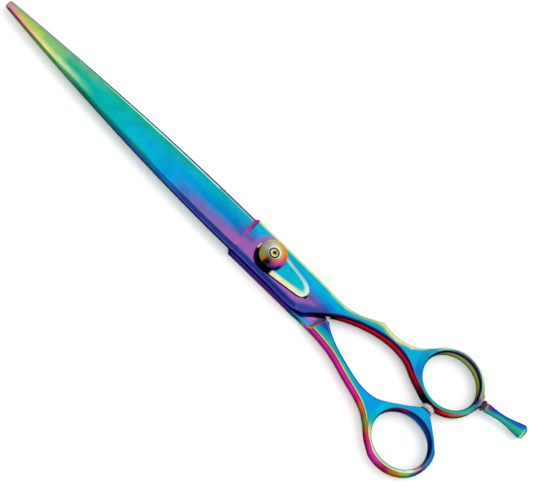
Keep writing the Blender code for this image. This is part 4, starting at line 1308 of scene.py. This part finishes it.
def tang_paint():
    paint = Paint("rainbow_steel_tang")
    start = tang_point(TANG_BASE) / MM
    dx, dy = paint.x - start.x, paint.y - start.y
    along = dx * TANG_DIRECTION.x + dy * TANG_DIRECTION.y
    side = paint.ny * TANG_DIRECTION.x - paint.nx * TANG_DIRECTION.y
    by_side = side.ramp(
        (-1, DARK_TEAL), (-0.8, SEA_GREEN), (-0.55, GREEN), (-0.35, TEAL), (-0.12, BLUE),
        (0.1, "#2058b4"), (0.28, BLUE), (0.55, DEEP_BLUE), (1, INDIGO),
    )
    # Painted highlight: pink at the collar end.
    near = along.ramp((0, PINK), (1.0, "#6c3c98"), (3, "#3038a0"), (8, "#1c54b0"))
    end = paint.z.ramp((0.4, DARK_GREEN), (3.0, "#1c9468"), (4.6, "#58ac6c"), (5.7, "#2878a0"))
    colour = paint.layers(
        by_side,
        (along.rise(8.5, 1.5) * side.rise(-0.7, -0.35), near),
        (along.rise(16.9, 17.3), end),
        (along.band(16.5, 16.9, 0.25) * side.rise(0.6, -0.4) * 0.8, PALE_LIME),
    )
    return coated(paint, colour)


def screw_paint():
    paint = Paint("rainbow_steel_pivot_screw")
    turn = paint.y * 0.6 + paint.x
    colour = turn.ramp((-4.4, OLIVE), (-1.5, GOLD), (0.6, "#c8805c"), (2.4, MAGENTA), (4.4, INDIGO))
    return coated(paint, colour)


def nylon_paint():
    paint = Paint("clear_nylon_frosted")
    mottle = paint.noise(1.6)
    colour = mottle.ramp((0.3, "#b8b4b4"), (0.5, "#d8d6d4"), (0.7, "#f0f0ee"))
    round_bumper = paint.math("ARCTAN2", paint.z - MIDDLE_Z / MM, paint.x - BUMPER_X / MM)
    # Painted shade: darker stripes along the flutes.
    flute_shade = paint.math("SINE", round_bumper * FLUTES).rise(-0.2, 0.8) * 0.6
    ends = paint.y.rise(1.0, 0.5).at_least(paint.y.rise(2.1, 2.6)) * 0.5
    colour = paint.layers(colour, (flute_shade, "#8a7c7c"), (ends, "#6c6468"))
    gloss = paint.noise(3.0) * 0.2 + 0.2
    return paint.shader(colour, 0.0, gloss, bump=mottle, strength=0.2, Transmission_Weight=0.3, IOR=1.5)


def rubber_paint():
    paint = Paint("black_rubber_satin")
    mottle = paint.noise(2.5)
    colour = mottle.ramp((0.3, "#08080a"), (0.6, "#161416"), (0.75, "#2a2422"))
    gloss = paint.noise(5.0) * 0.25 + 0.3
    return paint.shader(colour, 0.0, gloss, bump=mottle, strength=0.3)


def plain_steel_paint():
    paint = Paint("spring_steel_brushed")
    lines = paint.noise(2.0, (6, 1, 1))
    colour = lines.ramp((0.3, "#8c8c90"), (0.7, "#b8b8bc"))
    return paint.shader(colour, 1.0, lines * 0.2 + 0.22, bump=lines)


# The stage


def floor_paint():
    paint = Paint("pale_floor")
    colour = paint.noise(0.004).ramp((0.3, "#f2f2f2"), (0.7, "#f8f8f8"))
    return paint.shader(colour, 0.0, 0.9, Emission_Color=linear("#ffffff"), Emission_Strength=FLOOR_GLOW)


def floor(level):
    """A wide pale sheet, just under the shears."""
    bm = bmesh.new()
    lowered = Matrix.Translation((0, 0, level))
    bmesh.ops.create_grid(bm, x_segments=FLOOR_CELLS, y_segments=FLOOR_CELLS, size=FLOOR_SIZE, matrix=lowered)
    mesh = mesh_of("floor", bm)
    mesh.materials.append(floor_paint())
    obj = bpy.data.objects.new("floor", mesh)
    bpy.context.scene.collection.objects.link(obj)


def sky():
    """A soft studio sky: bright overhead, a little darker at the horizon."""
    world = bpy.data.worlds.new("studio")
    world.use_nodes = True
    nodes, links = world.node_tree.nodes, world.node_tree.links
    background = nodes["Background"]
    background.inputs["Color"].default_value = (1, 1, 1, 1)
    coordinates = nodes.new("ShaderNodeTexCoord")
    parts = nodes.new("ShaderNodeSeparateXYZ")
    links.new(coordinates.outputs["Generated"], parts.inputs[0])
    brightness = nodes.new("ShaderNodeMapRange")
    links.new(parts.outputs["Z"], brightness.inputs["Value"])
    brightness.inputs["From Max"].default_value = SKY_FULL_AT
    brightness.inputs["To Min"].default_value = SKY_AT_HORIZON
    brightness.inputs["To Max"].default_value = SKY_OVERHEAD
    links.new(brightness.outputs[0], background.inputs["Strength"])
    bpy.context.scene.world = world


def key_light():
    """One wide soft light from behind. It isn't mirrored in the steel."""
    data = bpy.data.lights.new("key", "AREA")
    data.shape = "DISK"
    data.size = KEY_SIZE
    data.energy = KEY_POWER
    light = bpy.data.objects.new("key", data)
    light.location = KEY_TARGET + KEY_DIRECTION * KEY_DISTANCE
    light.rotation_euler = KEY_DIRECTION.to_track_quat("Z", "Y").to_euler()
    light.visible_glossy = False
    bpy.context.scene.collection.objects.link(light)


def camera():
    up = CAMERA_BACK.cross(CAMERA_RIGHT).normalized()
    right = up.cross(CAMERA_BACK).normalized()
    aim = Vector((0, 0, MIDDLE_Z)) + right * AIM_RIGHT + up * AIM_UP
    data = bpy.data.cameras.new("camera")
    data.sensor_width = CAMERA_SENSOR
    data.lens = CAMERA_SENSOR * CAMERA_DISTANCE / SEEN_WIDTH
    data.clip_start = 0.05
    obj = bpy.data.objects.new("camera", data)
    turn = Matrix((right, up, CAMERA_BACK)).transposed().to_4x4()
    obj.matrix_world = Matrix.Translation(aim + CAMERA_BACK * CAMERA_DISTANCE) @ turn
    bpy.context.scene.collection.objects.link(obj)
    bpy.context.scene.camera = obj


def finish_cad_node(node, finish):
    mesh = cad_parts[node].data
    mesh.materials.clear()
    mesh.materials.append(finish)


PIECES = (
    ("finger_forging", finger_forging, finger_paint, "finger_half", "finger_side", "coated_steel"),
    ("thumb_forging", thumb_forging, thumb_paint, "thumb_half", "thumb_side", "coated_steel"),
    ("leaf_plate", leaf_mesh, leaf_paint, "tension_leaf", "finger_side", "coated_steel"),
    ("dial_dome", dial_mesh, dial_paint, "tension_dial", "dial", "coated_dial"),
    ("lock_screw", lock_screw_mesh, lock_screw_paint, "dial_lock_screw", "finger_side", "coated_dial"),
    ("pivot_screw_turned", pivot_screw_mesh, screw_paint, "pivot_screw", "finger_side", "coated_steel"),
    ("bumper_stop", bumper_mesh, nylon_paint, "bumper", "thumb_side", "clear_nylon"),
    ("tang_body", tang_mesh, tang_paint, "tang", "finger_rest", "coated_steel"),
    ("tang_collar", tang_washer_mesh, rubber_paint, "tang_washer", "finger_rest", "black_rubber"),
)


def main():
    for name, shape, finish, node, body, slot in PIECES:
        piece(name, shape(), finish(), node, body)
    washers = nylon_paint()
    finish_cad_node("pivot_bushing", washers)
    finish_cad_node("thrust_washer", washers)
    finish_cad_node("spring_washer", plain_steel_paint())
    floor(FRAME_BOUNDS[0].z - FLOOR_GAP)
    sky()
    key_light()
    camera()
    bpy.context.scene.view_settings.view_transform = "Standard"


main()
